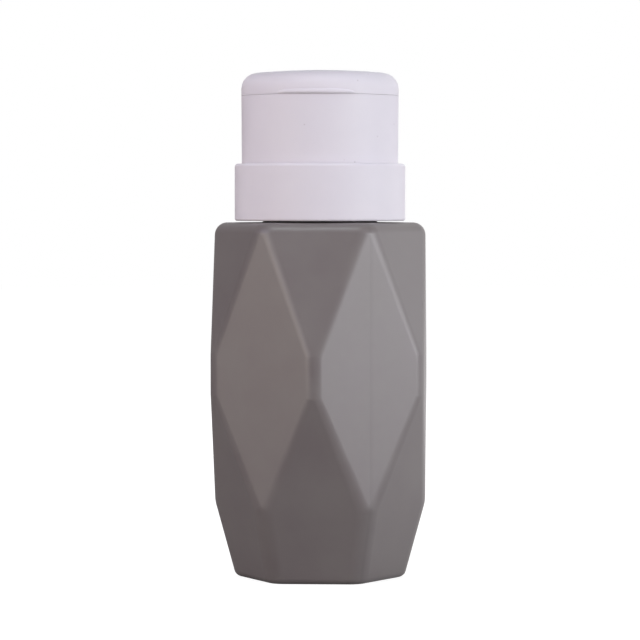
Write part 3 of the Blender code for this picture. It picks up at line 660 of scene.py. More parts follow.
@dataclass(frozen=True)
class Role:
    """What a piece is in the frame.

    Attributes:
        name: Name of the piece.
        body: Moving group that carries it.
        slot: Material slot, which also names its finish.
        node: CAD node that it stands for.
    """

    name: str
    body: Body
    slot: Slot
    node: str

    def dress(self, mesh: Mesh, *changes: tuple[Mesh, Joining]) -> Item:
        """Make the piece, shade it, give it its finish and hang it on its body.

        Args:
            mesh: Mesh in its place, in metres.
            *changes: Solids to cut from it or add to it, in order.

        Returns:
            The piece.
        """
        item = make_item(self.name, mesh)
        for solid, joining in changes:
            carve(item, solid, joining)
        data = item.data
        data.name = self.name
        data.shade_smooth()
        data.set_sharp_from_angle(angle=math.radians(SHARP_DEGREES))
        data.materials.clear()
        data.materials.append(FINISHES[self.slot].material())
        even = item.modifiers.new("even_shading", "WEIGHTED_NORMAL")
        even.keep_sharp = True
        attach(item, self.body.value)
        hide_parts(self.node)
        LOG.info("%s: %d faces, rides on %s", self.name, len(data.polygons), self.body.value)
        return item


def level_edges(mesh: Mesh, height: float) -> list[bmesh.types.BMEdge]:
    """Edges that lie flat at a height in mm."""
    return [edge for edge in mesh.edges if all(abs(vert.co.z - height * MM) < MERGE for vert in edge.verts)]


def open_level(mesh: Mesh, height: float) -> None:
    """Take out the flat faces at a height in mm, so that something can join there.

    Args:
        mesh: Mesh to open.
        height: Height of the faces, mm.
    """
    level = set(level_edges(mesh, height))
    flat = [face for face in mesh.faces if level.issuperset(face.edges)]
    bmesh.ops.delete(mesh, geom=flat, context="FACES")


def close_level(mesh: Mesh, height: float) -> None:
    """Fill the flat ring between the open edges at a height in mm."""
    edges = [edge for edge in level_edges(mesh, height) if edge.is_boundary]
    bmesh.ops.triangle_fill(mesh, use_beauty=True, use_dissolve=False, edges=edges)


@dataclass
class FacetedBottle:
    """Blow-moulded bottle: a hollow skin over rings of rounded discs, with a threaded neck.

    Attributes:
        sides: Discs in a ring.
        facet: Distance of the upright facets from the axis.
        side_round: Rounding of the six side corners.
        tip_round: Rounding of the upper tips, level and upright.
        low_round: Rounding of the lower tips, level and upright.
        foot_round: Rounding of the foot's corners, level and upright.
        foot_radius: Distance of the foot's corners from the axis.
        low_tip: Height of the discs at the lower tips.
        waist: Heights of the discs at the side corners.
        shoulder: Height of the flat shoulder.
        wall: Thickness of the wall.
        push_up: Height, outer and inner radius of the pushed-up base.
        base_round: Rounding of the base's rim and crown.
        neck: Radius, bore radius and top of the neck.
        lip_round: Rounding of the neck's lip, outside and inside.
        root_round: Rounding where the neck meets the shoulder.
        apron: Flat left round the neck's rounding and inside the base's rim.
        thread: Corners of the thread's ridge where it starts.
        thread_run: Its turns, its start in degrees and its run-out in turns.
        seam_half: Half the width of the parting line.
        seam_rise: Height of the parting line over the skin.
        seam_depth: Thickness of the parting line's strip.
        seam_foot: Height at which the line starts.
        seam_end: Distance from the axis at which it ends on the shoulder.
        pinch: Half the length, half the width and the height of the line under the base.
        pinch_round: Rounding of that line.
    """

    sides: int = 6
    facet: float = 29.15
    side_round: float = 4.8
    tip_round: tuple[float, float] = (7.2, 3.5)
    low_round: tuple[float, float] = (7.2, 10.0)
    foot_round: tuple[float, float] = (6.4, 2.2)
    foot_radius: float = 23.85
    low_tip: float = 22.45
    waist: tuple[float, float] = (51.4, 62.1)
    shoulder: float = 98.1
    wall: float = 1.2
    push_up: tuple[float, float, float] = (1.4, 16.0, 11.0)
    base_round: tuple[float, float] = (0.5, 2.5)
    neck: tuple[float, float, float] = (15.25, 13.0, 110.6)
    lip_round: tuple[float, float] = (0.4, 0.35)
    root_round: float = 1.2
    apron: tuple[float, float] = (0.5, 0.6)
    thread: Section = (
        (15.1, 103.5), (16.3, 104.25), (16.45, 104.45), (16.45, 104.75), (16.3, 104.95), (15.1, 105.4)
    )
    thread_run: tuple[float, float, float] = (1.05, 15.0, 0.09)
    seam_half: float = 0.25
    seam_rise: float = 0.02
    seam_depth: float = 0.4
    seam_foot: float = 0.5
    seam_end: float = 15.97
    pinch: tuple[float, float, float] = (8.5, 0.25, 0.25)
    pinch_round: float = 0.12

    def skin(self, inset: float, floor: float, steps: int = MEDIUM_STEPS) -> Mesh:
        """Wrap a skin over the rings of rounded discs that shape the body.

        Args:
            inset: How far the skin lies inside the outer one, mm.
            floor: Height of its lowest point, mm.
            steps: Steps round one disc.

        Returns:
            The closed skin.
        """
        tip_turn = math.pi / self.sides - math.pi / 2
        tip_level, tip_rim = self.tip_round
        low_level, low_rim = self.low_round
        foot_level, foot_rim = self.foot_round
        side = (self.facet - self.side_round) / math.cos(math.pi / self.sides)
        # The foot's discs move up the lower facets with the floor.
        foot_height = floor + foot_rim - inset
        share = (foot_height - foot_rim) / (self.low_tip - foot_rim)
        foot = self.foot_radius - foot_level
        foot += (self.facet - low_level - foot) * share
        rings = [
            (foot, foot_height, foot_level, foot_rim, tip_turn),
            (self.facet - low_level, self.low_tip, low_level, low_rim, tip_turn),
            (side, self.waist[0], self.side_round, self.side_round, -math.pi / 2),
            (side, self.waist[1], self.side_round, self.side_round, -math.pi / 2),
            (self.facet - tip_level, self.shoulder - tip_rim, tip_level, tip_rim, tip_turn),
        ]
        mesh = bmesh.new()
        for radius, height, level, rim, turn in rings:
            disc = bmesh.new()
            bmesh.ops.create_uvsphere(
                disc, u_segments=steps, v_segments=steps // 2, radius=(rim - inset) * MM
            )
            for vert in disc.verts:
                across = vert.co.xy.length
                spread = max(0.0, across + (level - rim) * MM) / across if across else 0.0
                vert.co = Vector((vert.co.x * spread, vert.co.y * spread, vert.co.z))
            bmesh.ops.translate(disc, vec=Vector((radius, 0.0, height)) * MM, verts=disc.verts[:])
            bmesh.ops.rotate(disc, matrix=Matrix.Rotation(turn, 3, "Z"), verts=disc.verts[:])
            carrier = bpy.data.meshes.new("carrier")
            disc.to_mesh(carrier)
            disc.free()
            for _ in range(self.sides):
                mesh.from_mesh(carrier)
                carrier.transform(Matrix.Rotation(math.tau / self.sides, 4, "Z"))
            bpy.data.meshes.remove(carrier)
        bmesh.ops.delete(mesh, geom=mesh.edges[:], context="EDGES_FACES")
        wrap = bmesh.ops.convex_hull(mesh, input=mesh.verts[:])
        inside = set(wrap["geom_interior"] + wrap["geom_unused"])
        spare = [item for item in inside if isinstance(item, bmesh.types.BMVert)]
        bmesh.ops.delete(mesh, geom=spare, context="VERTS")
        bmesh.ops.dissolve_limit(
            mesh,
            angle_limit=math.radians(FLAT_DEGREES),
            verts=mesh.verts[:],
            edges=mesh.edges[:],
            use_dissolve_boundaries=False,
        )
        bmesh.ops.recalc_face_normals(mesh, faces=mesh.faces[:])
        return mesh

    def shell(self) -> Mesh:
        """Join the outer skin, neck, hollow and pushed-up base into one wall.

        Returns:
            The closed wall.
        """
        rise, base_radius, crown_radius = self.push_up
        rim_round, crown_round = self.base_round
        radius, bore, top = self.neck
        outer_round, inner_round = self.lip_round
        neck_apron, base_apron = self.apron
        ceiling = self.shoulder - self.wall
        mesh = self.skin(0.0, 0.0)
        open_level(mesh, self.shoulder)
        open_level(mesh, 0.0)
        hollow = self.skin(self.wall, rise + self.wall, MEDIUM_STEPS // 2)
        open_level(hollow, ceiling)
        neck = lathe(
            [
                (radius + self.root_round + neck_apron, self.shoulder, 0.0),
                (radius, self.shoulder, self.root_round),
                (radius, top, outer_round),
                (bore, top, inner_round),
                (bore, ceiling, 0.0),
            ],
            closed=False,
        )
        base = lathe(
            [
                (base_radius, 0.0, 0.0),
                (base_radius - base_apron, 0.0, rim_round),
                (crown_radius, rise, crown_round),
                (0.0, rise, 0.0),
                (0.0, -rise, 0.0),
            ],
            closed=False,
        )
        for part in (hollow, neck, base):
            add_shell(mesh, part)
        for level in (self.shoulder, ceiling, 0.0):
            close_level(mesh, level)
        bmesh.ops.recalc_face_normals(mesh, faces=mesh.faces[:])
        return mesh

    def seam(self) -> Mesh:
        """Raised line that the mould's parting plane leaves up both sides and over the shoulder.

        Returns:
            The line, sunk a little in the wall.
        """
        mesh = self.skin(-self.seam_rise, -self.seam_rise)
        along = math.radians(SEAM_DEGREES)
        run = Vector((math.cos(along), math.sin(along), 0.0))
        across = Vector((-run.y, run.x, 0.0))
        cuts = [
            (across * self.seam_half, across, True),
            (-across * self.seam_half, -across, True),
            (Vector((0.0, 0.0, self.seam_foot)), Vector((0.0, 0.0, -1.0)), True),
            (-run * self.seam_end, run, False),
            (run * self.seam_end, run, False),
        ]
        for place, away, clear in cuts:
            bmesh.ops.bisect_plane(
                mesh,
                geom=mesh.verts[:] + mesh.edges[:] + mesh.faces[:],
                plane_co=place * MM,
                plane_no=away,
                clear_outer=clear,
            )
        reach = self.seam_end * MM
        inner = [face for face in mesh.faces if abs(face.calc_center_median().dot(run)) < reach]
        bmesh.ops.delete(mesh, geom=inner, context="FACES")
        bmesh.ops.recalc_face_normals(mesh, faces=mesh.faces[:])
        bmesh.ops.solidify(mesh, geom=mesh.faces[:], thickness=self.seam_depth * MM)
        bmesh.ops.recalc_face_normals(mesh, faces=mesh.faces[:])
        return mesh

    def pinch_off(self) -> Mesh:
        """Line under the base where the mould pinched the hot tube shut.

        Returns:
            The line, sunk a little in the base.
        """
        crown = self.push_up[0]
        half, side, height = self.pinch
        mesh = block((-half, -side, crown - height), (half, side, crown + 2 * height), self.pinch_round)
        turn = Matrix.Rotation(math.radians(SEAM_DEGREES), 4, "Z")
        bmesh.ops.transform(mesh, matrix=turn, verts=mesh.verts[:])
        return mesh

    def build(self) -> list[Item]:
        """Make the bottle.

        Returns:
            Its one piece.
        """
        role = Role("bottle_shell", Body.BOTTLE, Slot.GREY, "bottle")
        parts = (thread_ridge(self.thread, *self.thread_run), self.pinch_off(), self.seam())
        return [role.dress(self.shell(), *((part, Joining.ADD) for part in parts))]


@dataclass
class ScrewClosure:
    """Closure with a threaded skirt, a ledge and the outer wall that guides the head.

    Attributes:
        foot: Height of its lower edge.
        top: Height of the guide wall.
        radius: Outer radius.
        guide: Radius inside the guide wall.
        skirt: Outer and inner radius of the skirt.
        web_top: Upper side of the web between skirt and wall.
        ledge: Lower and upper side of the ledge.
        hole: Radius of the ledge's hole.
        thread: Corners of the thread's ridge where it starts.
        thread_run: Its turns, its start in degrees and its run-out in turns.
    """

    foot: float = 98.55
    top: float = 114.3
    radius: float = 23.55
    guide: float = 22.0
    skirt: tuple[float, float] = (18.25, 16.75)
    web_top: float = 99.6
    ledge: tuple[float, float] = (114.0, 115.2)
    hole: float = 8.0
    thread: Section = ((16.9, 98.65), (15.6, 99.25), (15.6, 99.65), (16.9, 100.25))
    thread_run: tuple[float, float, float] = (0.72, 200.0, 0.072)

    def build(self) -> list[Item]:
        """Make the closure.

        Returns:
            Its one piece.
        """
        outer, inner = self.skirt
        low, high = self.ledge
        outline = [
            (inner, self.foot, 0.25),
            (self.radius, self.foot, 0.6),
            (self.radius, self.top, 0.9),
            (self.guide, self.top, 0.35),
            (self.guide, self.web_top, 0.4),
            (outer, self.web_top, 0.4),
            (outer, high, 0.6),
            (self.hole, high, 0.2),
            (self.hole, low, 0.0),
            (inner, low, 0.4),
        ]
        role = Role("screw_closure", Body.COLLAR, Slot.WHITE, "closure_collar")
        ridge = thread_ridge(self.thread, *self.thread_run)
        return [role.dress(lathe(outline, WALL_STEPS), (ridge, Joining.ADD))]


@dataclass
class PumpEngine:
    """Everything between the neck and the dish: barrel, plunger, spring, balls and tube.

    Attributes:
        barrel: Outer and inner radius of the cylinder.
        flange: Radius, lower and upper side of the cylinder's flange.
        mouth: Radius and floor of the cylinder's mouth, which takes the cap.
        chamber_floor: Height of the chamber's floor.
        cage: Radius of the inlet ball's cage, and radius and thickness of the stop over it.
        cage_floor: Height of the inlet ball's seat.
        cone: Height of the cone from the socket to the barrel.
        socket: Ceiling, mouth, inner and outer radius of the dip tube's socket.
        cap: Outline of the bush that holds the stem in.
        washer: Outline of the washer on the neck.
        tube: Outline of the dip tube.
        rod: Outline of the piston rod with its head and channel.
        port: Radius, both ends, and Y and Z of the hole across the rod.
        stem: Outline of the stem with its collar and the outlet ball's seat.
        piston: Outline of the piston with its two lips.
        spring_mean: Middle radius of the spring.
        wire: Thickness of the spring's wire.
        wire_sides: Sides of the wire's section.
        spring_span: Lowest and highest middle of the wire.
        curls: Curls of the spring.
        curl_steps: Steps of one curl.
        end_curls: Close curls at each end.
        end_pitch: Climb of a close curl.
        stroke: Travel of the plunger.
        inlet: Radius of the inlet ball and of its hole.
        outlet: Radius of the outlet ball and of its hole.
        outlet_seat: Height of the outlet ball's seat.
    """

    barrel: tuple[float, float] = (7.5, 5.5)
    flange: tuple[float, float, float] = (15.25, 112.2, 113.7)
    mouth: tuple[float, float] = (6.5, 107.9)
    chamber_floor: float = 82.2
    cage: tuple[float, float, float] = (2.6, 1.85, 0.8)
    cage_floor: float = 77.1
    cone: float = 2.5
    socket: tuple[float, float, float, float] = (75.1, 69.1, 2.8, 4.2)
    cap: Outline = (
        (3.6, 108.2, 0.25), (6.2, 108.2, 0.3), (6.2, 114.0, 0.1), (7.7, 114.0, 0.2), (7.7, 115.2, 0.3),
        (3.6, 115.2, 0.35),
    )
    washer: Outline = ((10.8, 110.9, 0.15), (15.25, 110.9, 0.15), (15.25, 111.9, 0.15), (10.8, 111.9, 0.15))
    tube: Outline = ((1.8, 4.2, 0.1), (2.5, 4.2, 0.1), (2.5, 74.8, 0.1), (1.8, 74.8, 0.1))
    rod: Outline = (
        (0.0, 92.7, 0.0), (2.2, 92.7, 0.4), (2.2, 96.7, 0.15), (4.4, 96.7, 0.2), (4.4, 98.2, 0.2),
        (2.2, 98.2, 0.15), (2.2, 109.9, 0.25), (1.0, 109.9, 0.15), (1.0, 100.4, 0.2), (0.0, 100.4, 0.0),
    )
    port: tuple[float, float, float, tuple[float, float]] = (0.8, -4.2, 4.2, (0.0, 101.2))
    stem: Outline = (
        (2.5, 105.2, 0.2), (4.6, 105.2, 0.3), (4.6, 107.9, 0.3), (3.3, 107.9, 0.2), (3.3, 128.6, 0.3),
        (2.1, 128.6, 0.15), (2.1, 124.7, 0.2), (1.1, 124.7, 0.15), (1.1, 110.2, 0.1), (2.5, 110.2, 0.1),
    )
    piston: Outline = (
        (2.5, 98.5, 0.2), (4.9, 98.5, 0.2), (5.2, 99.8, 0.15), (4.0, 99.8, 0.4), (4.0, 102.6, 0.4),
        (5.2, 102.6, 0.15), (4.9, 103.9, 0.2), (2.5, 103.9, 0.2),
    )
    spring_mean: float = 3.4
    wire: float = 0.7
    wire_sides: int = 14
    spring_span: tuple[float, float] = (82.85, 96.05)
    curls: int = 6
    curl_steps: int = 48
    end_curls: float = 0.75
    end_pitch: float = 1.12
    stroke: float = 8.0
    inlet: tuple[float, float] = (2.0, 1.4)
    outlet: tuple[float, float] = (1.6, 1.1)
    outlet_seat: float = 124.7

    def cylinder(self) -> Outline:
        """Draw the cylinder with its flange, chamber, ball cage and tube socket.

        Returns:
            Its outline.
        """
        outer, inner = self.barrel
        rim, low, high = self.flange
        mouth, step = self.mouth
        cage, stop, thickness = self.cage
        ceiling, foot, tube, hub = self.socket
        floor, seat, hole = self.chamber_floor, self.cage_floor, self.inlet[1]
        return [
            (tube, foot, 0.3), (hub, foot, 0.3), (hub, seat, 0.6), (outer, seat + self.cone, 1.2),
            (outer, low, 0.6), (rim, low, 0.2), (rim, high, 0.2), (mouth, high, 0.3), (mouth, step, 0.15),
            (inner, step, 0.3), (inner, floor, 0.3), (stop, floor, 0.2), (stop, floor - thickness, 0.1),
            (cage, floor - thickness, 0.1), (cage, seat, 0.1), (hole, seat, 0.15), (hole, ceiling, 0.1),
            (tube, ceiling, 0.1),
        ]

    def turned_parts(self) -> list[Item]:
        """Make the cylinder, cap, washer, dip tube, rod, stem and piston.

        Returns:
            The turned pieces.
        """
        rod = Role("plunger_rod", Body.PLUNGER, Slot.NATURAL, "piston_rod")
        plan = (
            (Role("pump_barrel", Body.PUMP, Slot.NATURAL, "pump_cylinder"), self.cylinder()),
            (Role("barrel_cap", Body.PUMP, Slot.NATURAL, "cylinder_cap"), self.cap),
            (Role("neck_washer", Body.PUMP, Slot.SOFT, "neck_gasket"), self.washer),
            (Role("dip_pipe", Body.PUMP, Slot.CLEAR, "dip_tube"), self.tube),
            (rod, self.rod),
            (Role("delivery_stem", Body.PLUNGER, Slot.WHITE, "stem_tube"), self.stem),
            (Role("piston_cup", Body.PISTON, Slot.SOFT, "piston_seal"), self.piston),
        )
        changes = {rod: [(pin(*self.port), Joining.CUT)]}
        return [role.dress(lathe(outline, SMALL_STEPS), *changes.get(role, ())) for role, outline in plan]

    def spring(self) -> Item:
        """Make the return spring, with close curls at its ends.

        Returns:
            The spring.
        """
        low, high = self.spring_span
        close_rise = self.end_pitch * self.end_curls
        open_curls = self.curls - 2 * self.end_curls
        open_pitch = (high - low - 2 * close_rise) / open_curls
        even_pitch = (high - low) / self.curls
        half = self.wire / 2
        angles = [math.tau * corner / self.wire_sides for corner in range(self.wire_sides)]
        section = [
            (self.spring_mean + half * math.cos(angle), low + half * math.sin(angle)) for angle in angles
        ]

        def close_ends(share: float, point: Vector) -> Vector:
            """Move a point from the even climb to the real one.

            Args:
                share: Share of the spring's length.
                point: Point of the section, in mm.

            Returns:
                The point in its place.
            """
            curl = share * self.curls
            opened = min(max(curl - self.end_curls, 0.0), open_curls)
            lift = self.end_pitch * (curl - opened) + open_pitch * opened
            return Vector((point.x, 0.0, point.z + lift - even_pitch * curl))

        mesh = coil(section, even_pitch, self.curls, self.curls * self.curl_steps, 0.0, close_ends)
        item = Role("coil_spring", Body.PUMP, Slot.STEEL, "return_spring").dress(mesh)
        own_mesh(item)
        return item

    def ball(self, role: Role, radius: float, hole: float, seat: float) -> Item:
        """Make a check ball that rests on the rim of a round hole.

        Args:
            role: What the ball is.
            radius: Its radius, mm.
            hole: Radius of the hole, mm.
            seat: Height of the hole's rim, mm.

        Returns:
            The ball.
        """
        height = seat + math.sqrt(radius ** 2 - hole ** 2) + PLAY
        place = Matrix.Translation((0.0, 0.0, height * MM))
        mesh = bmesh.new()
        bmesh.ops.create_icosphere(mesh, subdivisions=4, radius=radius * MM, matrix=place)
        return role.dress(mesh)

    def build(self) -> list[Item]:
        """Make the pump.

        Returns:
            All its pieces.
        """
        foot = Role("foot_ball", Body.INLET, Slot.GLASS, "inlet_ball")
        head = Role("head_ball", Body.OUTLET, Slot.GLASS, "outlet_ball")
        return [
            *self.turned_parts(),
            self.spring(),
            self.ball(foot, *self.inlet, self.cage_floor),
            self.ball(head, *self.outlet, self.outlet_seat),
        ]


@dataclass
class Hinge:
    """Sizes that the head's ears and the lid's tongue share.

    Attributes:
        place: Y and Z of the hinge axis.
        ear_radius: Radius of the ears.
        ear_span: Inner and outer side of an ear.
        peg_radius: Radius of the pegs.
        knuckle_radius: Radius of the tongue's knuckle.
        knuckle_half: Half the length of the knuckle.
        gap: Gap between moving faces.
        rounding: Rounding of the ears, the knuckle and the pegs at their ends.
    """

    place: tuple[float, float] = (21.2, 132.95)
    ear_radius: float = 1.5
    ear_span: tuple[float, float] = (3.1, 5.5)
    peg_radius: float = 0.6
    knuckle_radius: float = 1.4
    knuckle_half: float = 2.8
    gap: float = PLAY
    rounding: tuple[float, float, float] = (0.15, 0.2, 0.12)


@dataclass
class PressHead:
    """White wall of the head, its dish for the pad and the outlet in the middle.

    Attributes:
        hinge: The lid hinge.
        foot: Height of its lower edge.
        top: Height of its upper edge.
        foot_radius: Outer radius at the foot.
        top_radius: Outer radius at the top.
        bore: Inner radius.
        ledge_top: Height of the ledge that carries the dish.
        ledge: Width of the ledge, and its thickness at its edge and at the wall.
        dish: Outline of the dish with the socket for the stem.
        outlet: Outline of the outlet button.
        outlet_holes: Number of its holes, their distance from the axis and their radius.
        drill: Height of the drill's middle, its length and its sides.
    """

    hinge: Hinge
    foot: float = 110.0
    top: float = 132.9
    foot_radius: float = 21.55
    top_radius: float = 21.7
    bore: float = 19.85
    ledge_top: float = 130.6
    ledge: tuple[float, float, float] = (1.8, 1.1, 2.9)
    dish: Outline = (
        (2.0, 128.9, 0.0), (3.6, 128.9, 0.0), (3.6, 123.5, 0.3), (5.2, 123.5, 0.3), (5.2, 128.9, 0.5),
        (11.4, 128.9, 18.0), (15.75, 130.9, 0.5), (19.55, 130.9, 0.2), (19.55, 132.5, 0.35),
        (17.65, 132.5, 0.4), (11.9, 130.2, 26.0), (2.0, 130.2, 0.15),
    )
    outlet: Outline = (
        (0.0, 129.2, 0.0), (1.7, 129.2, 0.2), (1.7, 130.5, 0.1), (3.2, 130.5, 0.15), (3.2, 131.7, 0.6),
        (0.0, 131.7, 0.0),
    )
    outlet_holes: tuple[int, float, float] = (4, 1.0, 0.5)
    drill: tuple[float, float, int] = (130.45, 6.0, 24)

    def wall(self) -> Item:
        """Make the head's wall with its hinge ears.

        Returns:
            The wall.
        """
        width, edge, root = self.ledge
        outline = [
            (self.bore, self.foot, 0.2),
            (self.foot_radius, self.foot, 0.35),
            (self.top_radius, self.top, 0.1),
            (self.bore, self.top, 0.1),
            (self.bore, self.ledge_top, 0.1),
            (self.bore - width, self.ledge_top, 0.15),
            (self.bore - width, self.ledge_top - edge, 0.2),
            (self.bore, self.ledge_top - root, 0.6),
        ]
        hinge = self.hinge
        y, z = hinge.place
        inner, outer = hinge.ear_span
        start = inner - hinge.gap
        clear = hinge.knuckle_radius + hinge.gap
        reach = outer + OVERCUT
        notch_top = (inner, self.top_radius + OVERCUT, self.top + OVERCUT)
        return Role("head_wall", Body.HEAD, Slot.WHITE, "press_head").dress(
            lathe(outline, WALL_STEPS),
            (pin(hinge.ear_radius, -outer, -start, hinge.place, hinge.rounding[0]), Joining.ADD),
            (pin(hinge.ear_radius, start, outer, hinge.place, hinge.rounding[0]), Joining.ADD),
            (block((-inner, y - clear, z - clear), notch_top), Joining.CUT),
            (pin(hinge.peg_radius + hinge.gap, -reach, reach, hinge.place), Joining.CUT),
        )

    def drills(self) -> list[Mesh]:
        """Make the round bars that cut the outlet's holes.

        Returns:
            One upright bar for each hole.
        """
        count, away, radius = self.outlet_holes
        middle, length, sides = self.drill
        bars = []
        for number in range(count):
            angle = math.tau * (number + 0.5) / count
            place = Vector((away * math.cos(angle), away * math.sin(angle), middle)) * MM
            bar = bmesh.new()
            bmesh.ops.create_cone(
                bar,
                cap_ends=True,
                segments=sides,
                radius1=radius * MM,
                radius2=radius * MM,
                depth=length * MM,
                matrix=Matrix.Translation(place),
            )
            bars.append(bar)
        return bars

    def build(self) -> list[Item]:
        """Make the head.

        Returns:
            Its wall, dish and outlet.
        """
        dish = Role("pad_dish", Body.HEAD, Slot.WHITE, "press_dish")
        outlet = Role("dish_outlet", Body.HEAD, Slot.WHITE, "outlet_cap")
        holes = [(bar, Joining.CUT) for bar in self.drills()]
        return [
            self.wall(),
            dish.dress(lathe(self.dish)),
            outlet.dress(lathe(self.outlet, SMALL_STEPS), *holes),
        ]


@dataclass
class FlipLid:
    """Flip lid with a low crown, a thumb lip in front and the hinge's tongue behind.

    Attributes:
        hinge: The lid hinge.
        foot: Height of its lower edge.
        top: Height of the crown.
        radius: Outer radius.
        wall: Thickness.
        corner: Rounding between wall and crown.
        crown: Fall of the crown.
        crown_share: Share of the crown's slope that its rounding takes.
        web_inset: How far the tongue's web lies inside each side of the wall.
        lip: Corners of the thumb lip's section in its middle, from root to root.
        lip_half_degrees: Half the angle that the thumb lip takes.
        lip_steps: Steps of its length.
        lip_least: Shares of its height and of its reach that are left at its ends.
        lip_power: How late the lip fades; more is later.
        stopper: Outline of the soft stopper that closes round the outlet.
    """

    hinge: Hinge
    foot: float = 132.94
    top: float = 140.0
    radius: float = 21.7
    wall: float = 1.5
    corner: float = 4.2
    crown: float = 0.8
    crown_share: float = 0.98
    web_inset: float = 0.3
    lip: Section = (
        (20.95, 133.19), (21.85, 133.19), (22.03, 133.26), (22.1, 133.44), (22.1, 133.84),
        (22.02, 134.09), (21.85, 134.27), (21.6, 134.36), (20.95, 134.39),
    )
    lip_half_degrees: float = 29.0
    lip_steps: int = 96
    lip_least: tuple[float, float] = (0.03, 0.55)
    lip_power: int = 5
    stopper: Outline = (
        (0.0, 136.2, 0.0), (4.8, 136.2, 0.2), (4.8, 130.5, 0.3), (5.8, 130.5, 0.35), (5.8, 136.2, 0.3),
        (7.5, 136.2, 0.3), (7.5, 137.4, 0.2), (0.0, 137.4, 0.0),
    )

    def thumb_lip(self) -> Mesh:
        """Low lip that fades into the wall at both ends.

        Returns:
            The lip, sunk in the wall.
        """
        root, low = self.lip[0]
        least, reach = self.lip_least

        def swell(share: float, point: Vector) -> Vector:
            """Shrink the section towards the ends.

            Args:
                share: Share of the lip's length.
                point: Point of the section, in mm.

            Returns:
                The point in its place.
            """
            away = abs(2.0 * share - 1.0)
            full = math.sqrt(max(0.0, 1.0 - away ** self.lip_power)) * (1.0 - least) + least
            out = (point.x - root) * (reach + (1.0 - reach) * full)
            return Vector((root + out, 0.0, low + (point.z - low) * full))

        turns = self.lip_half_degrees / 180.0
        return coil(self.lip, 0.0, turns, self.lip_steps, -90.0 - self.lip_half_degrees, swell)

    def shell(self) -> Item:
        """Make the lid with its lip, notch, tongue and pegs.

        Returns:
            The lid.
        """
        slope = 2.0 * self.crown / (self.radius - self.corner)
        control = (self.radius - self.corner) / 2
        shoulder = self.top - slope * (self.radius - control)
        ceiling = self.top - self.crown - self.wall
        outline = [
            (0.0, self.top, 0.0),
            (control, self.top, control / math.tan(slope / 2) * self.crown_share),
            (self.radius, shoulder, self.corner),
            (self.radius, self.foot, 0.1),
            (self.radius - self.wall, self.foot, 0.15),
            (self.radius - self.wall, ceiling, self.corner - self.wall),
            (0.0, ceiling, 0.0),
        ]
        hinge = self.hinge
        y, z = hinge.place
        half = hinge.ear_span[1] + hinge.gap
        top = z + hinge.ear_radius + 2 * hinge.gap
        low = (-half, y - hinge.ear_radius - self.wall, self.foot - OVERCUT)
        knuckle = hinge.knuckle_half
        web_low = (hinge.gap - knuckle, self.radius - self.wall + self.web_inset, z)
        web_high = (knuckle - hinge.gap, self.radius - self.web_inset, top + self.wall / 2)
        reach = hinge.ear_span[1] - hinge.gap
        _, knuckle_round, peg_round = hinge.rounding
        return Role("hinged_lid", Body.LID, Slot.WHITE, "flip_lid").dress(
            lathe(outline, WALL_STEPS),
            (self.thumb_lip(), Joining.ADD),
            (block(low, (half, self.radius + OVERCUT, top)), Joining.CUT),
            (block(web_low, web_high), Joining.ADD),
            (pin(hinge.knuckle_radius, -knuckle, knuckle, hinge.place, knuckle_round), Joining.ADD),
            (pin(hinge.peg_radius, -reach, reach, hinge.place, peg_round), Joining.ADD),
        )

    def build(self) -> list[Item]:
        """Make the lid.

        Returns:
            The lid and its stopper.
        """
        stopper = Role("lid_seal", Body.LID, Slot.SOFT, "lid_stopper")
        return [self.shell(), stopper.dress(lathe(self.stopper, MEDIUM_STEPS))]


@dataclass(frozen=True)
class Softbox:
    """One square studio lamp that points at the object.

    Attributes:
        name: Where it stands.
        azimuth: Direction round the object, degrees; zero is the camera's side.
        elevation: Height over the horizon, degrees.
        size: Width of the lamp, mm.
        watts: Power.
        colour: Light colour, sRGB hex.
        mirrored: Whether glossy surfaces mirror it.
        distance: Distance from the object, mm.
    """

    name: str
    azimuth: float
    elevation: float
    size: float
    watts: float
    colour: str
    mirrored: bool = True
    distance: float = 800.0

    def place(self, target: Vector) -> Item:
        """Put the lamp in its place.

        Args:
            target: Point that it shines on, in metres.

        Returns:
            The lamp.
        """
        lamp = bpy.data.lights.new(self.name, "AREA")
        lamp.shape = "SQUARE"
        lamp.size = self.size * MM
        lamp.energy = self.watts
        lamp.color = linear(self.colour)[:3]
        item = bpy.data.objects.new(self.name, lamp)
        item.visible_glossy = self.mirrored
        bpy.context.scene.collection.objects.link(item)
        around, up = math.radians(self.azimuth), math.radians(self.elevation)
        away = Vector((math.sin(around) * math.cos(up), -math.cos(around) * math.cos(up), math.sin(up)))
        item.location = target + away * self.distance * MM
        item.rotation_mode = "QUATERNION"
        item.rotation_quaternion = (-away).to_track_quat("-Z", "Y")
        return item


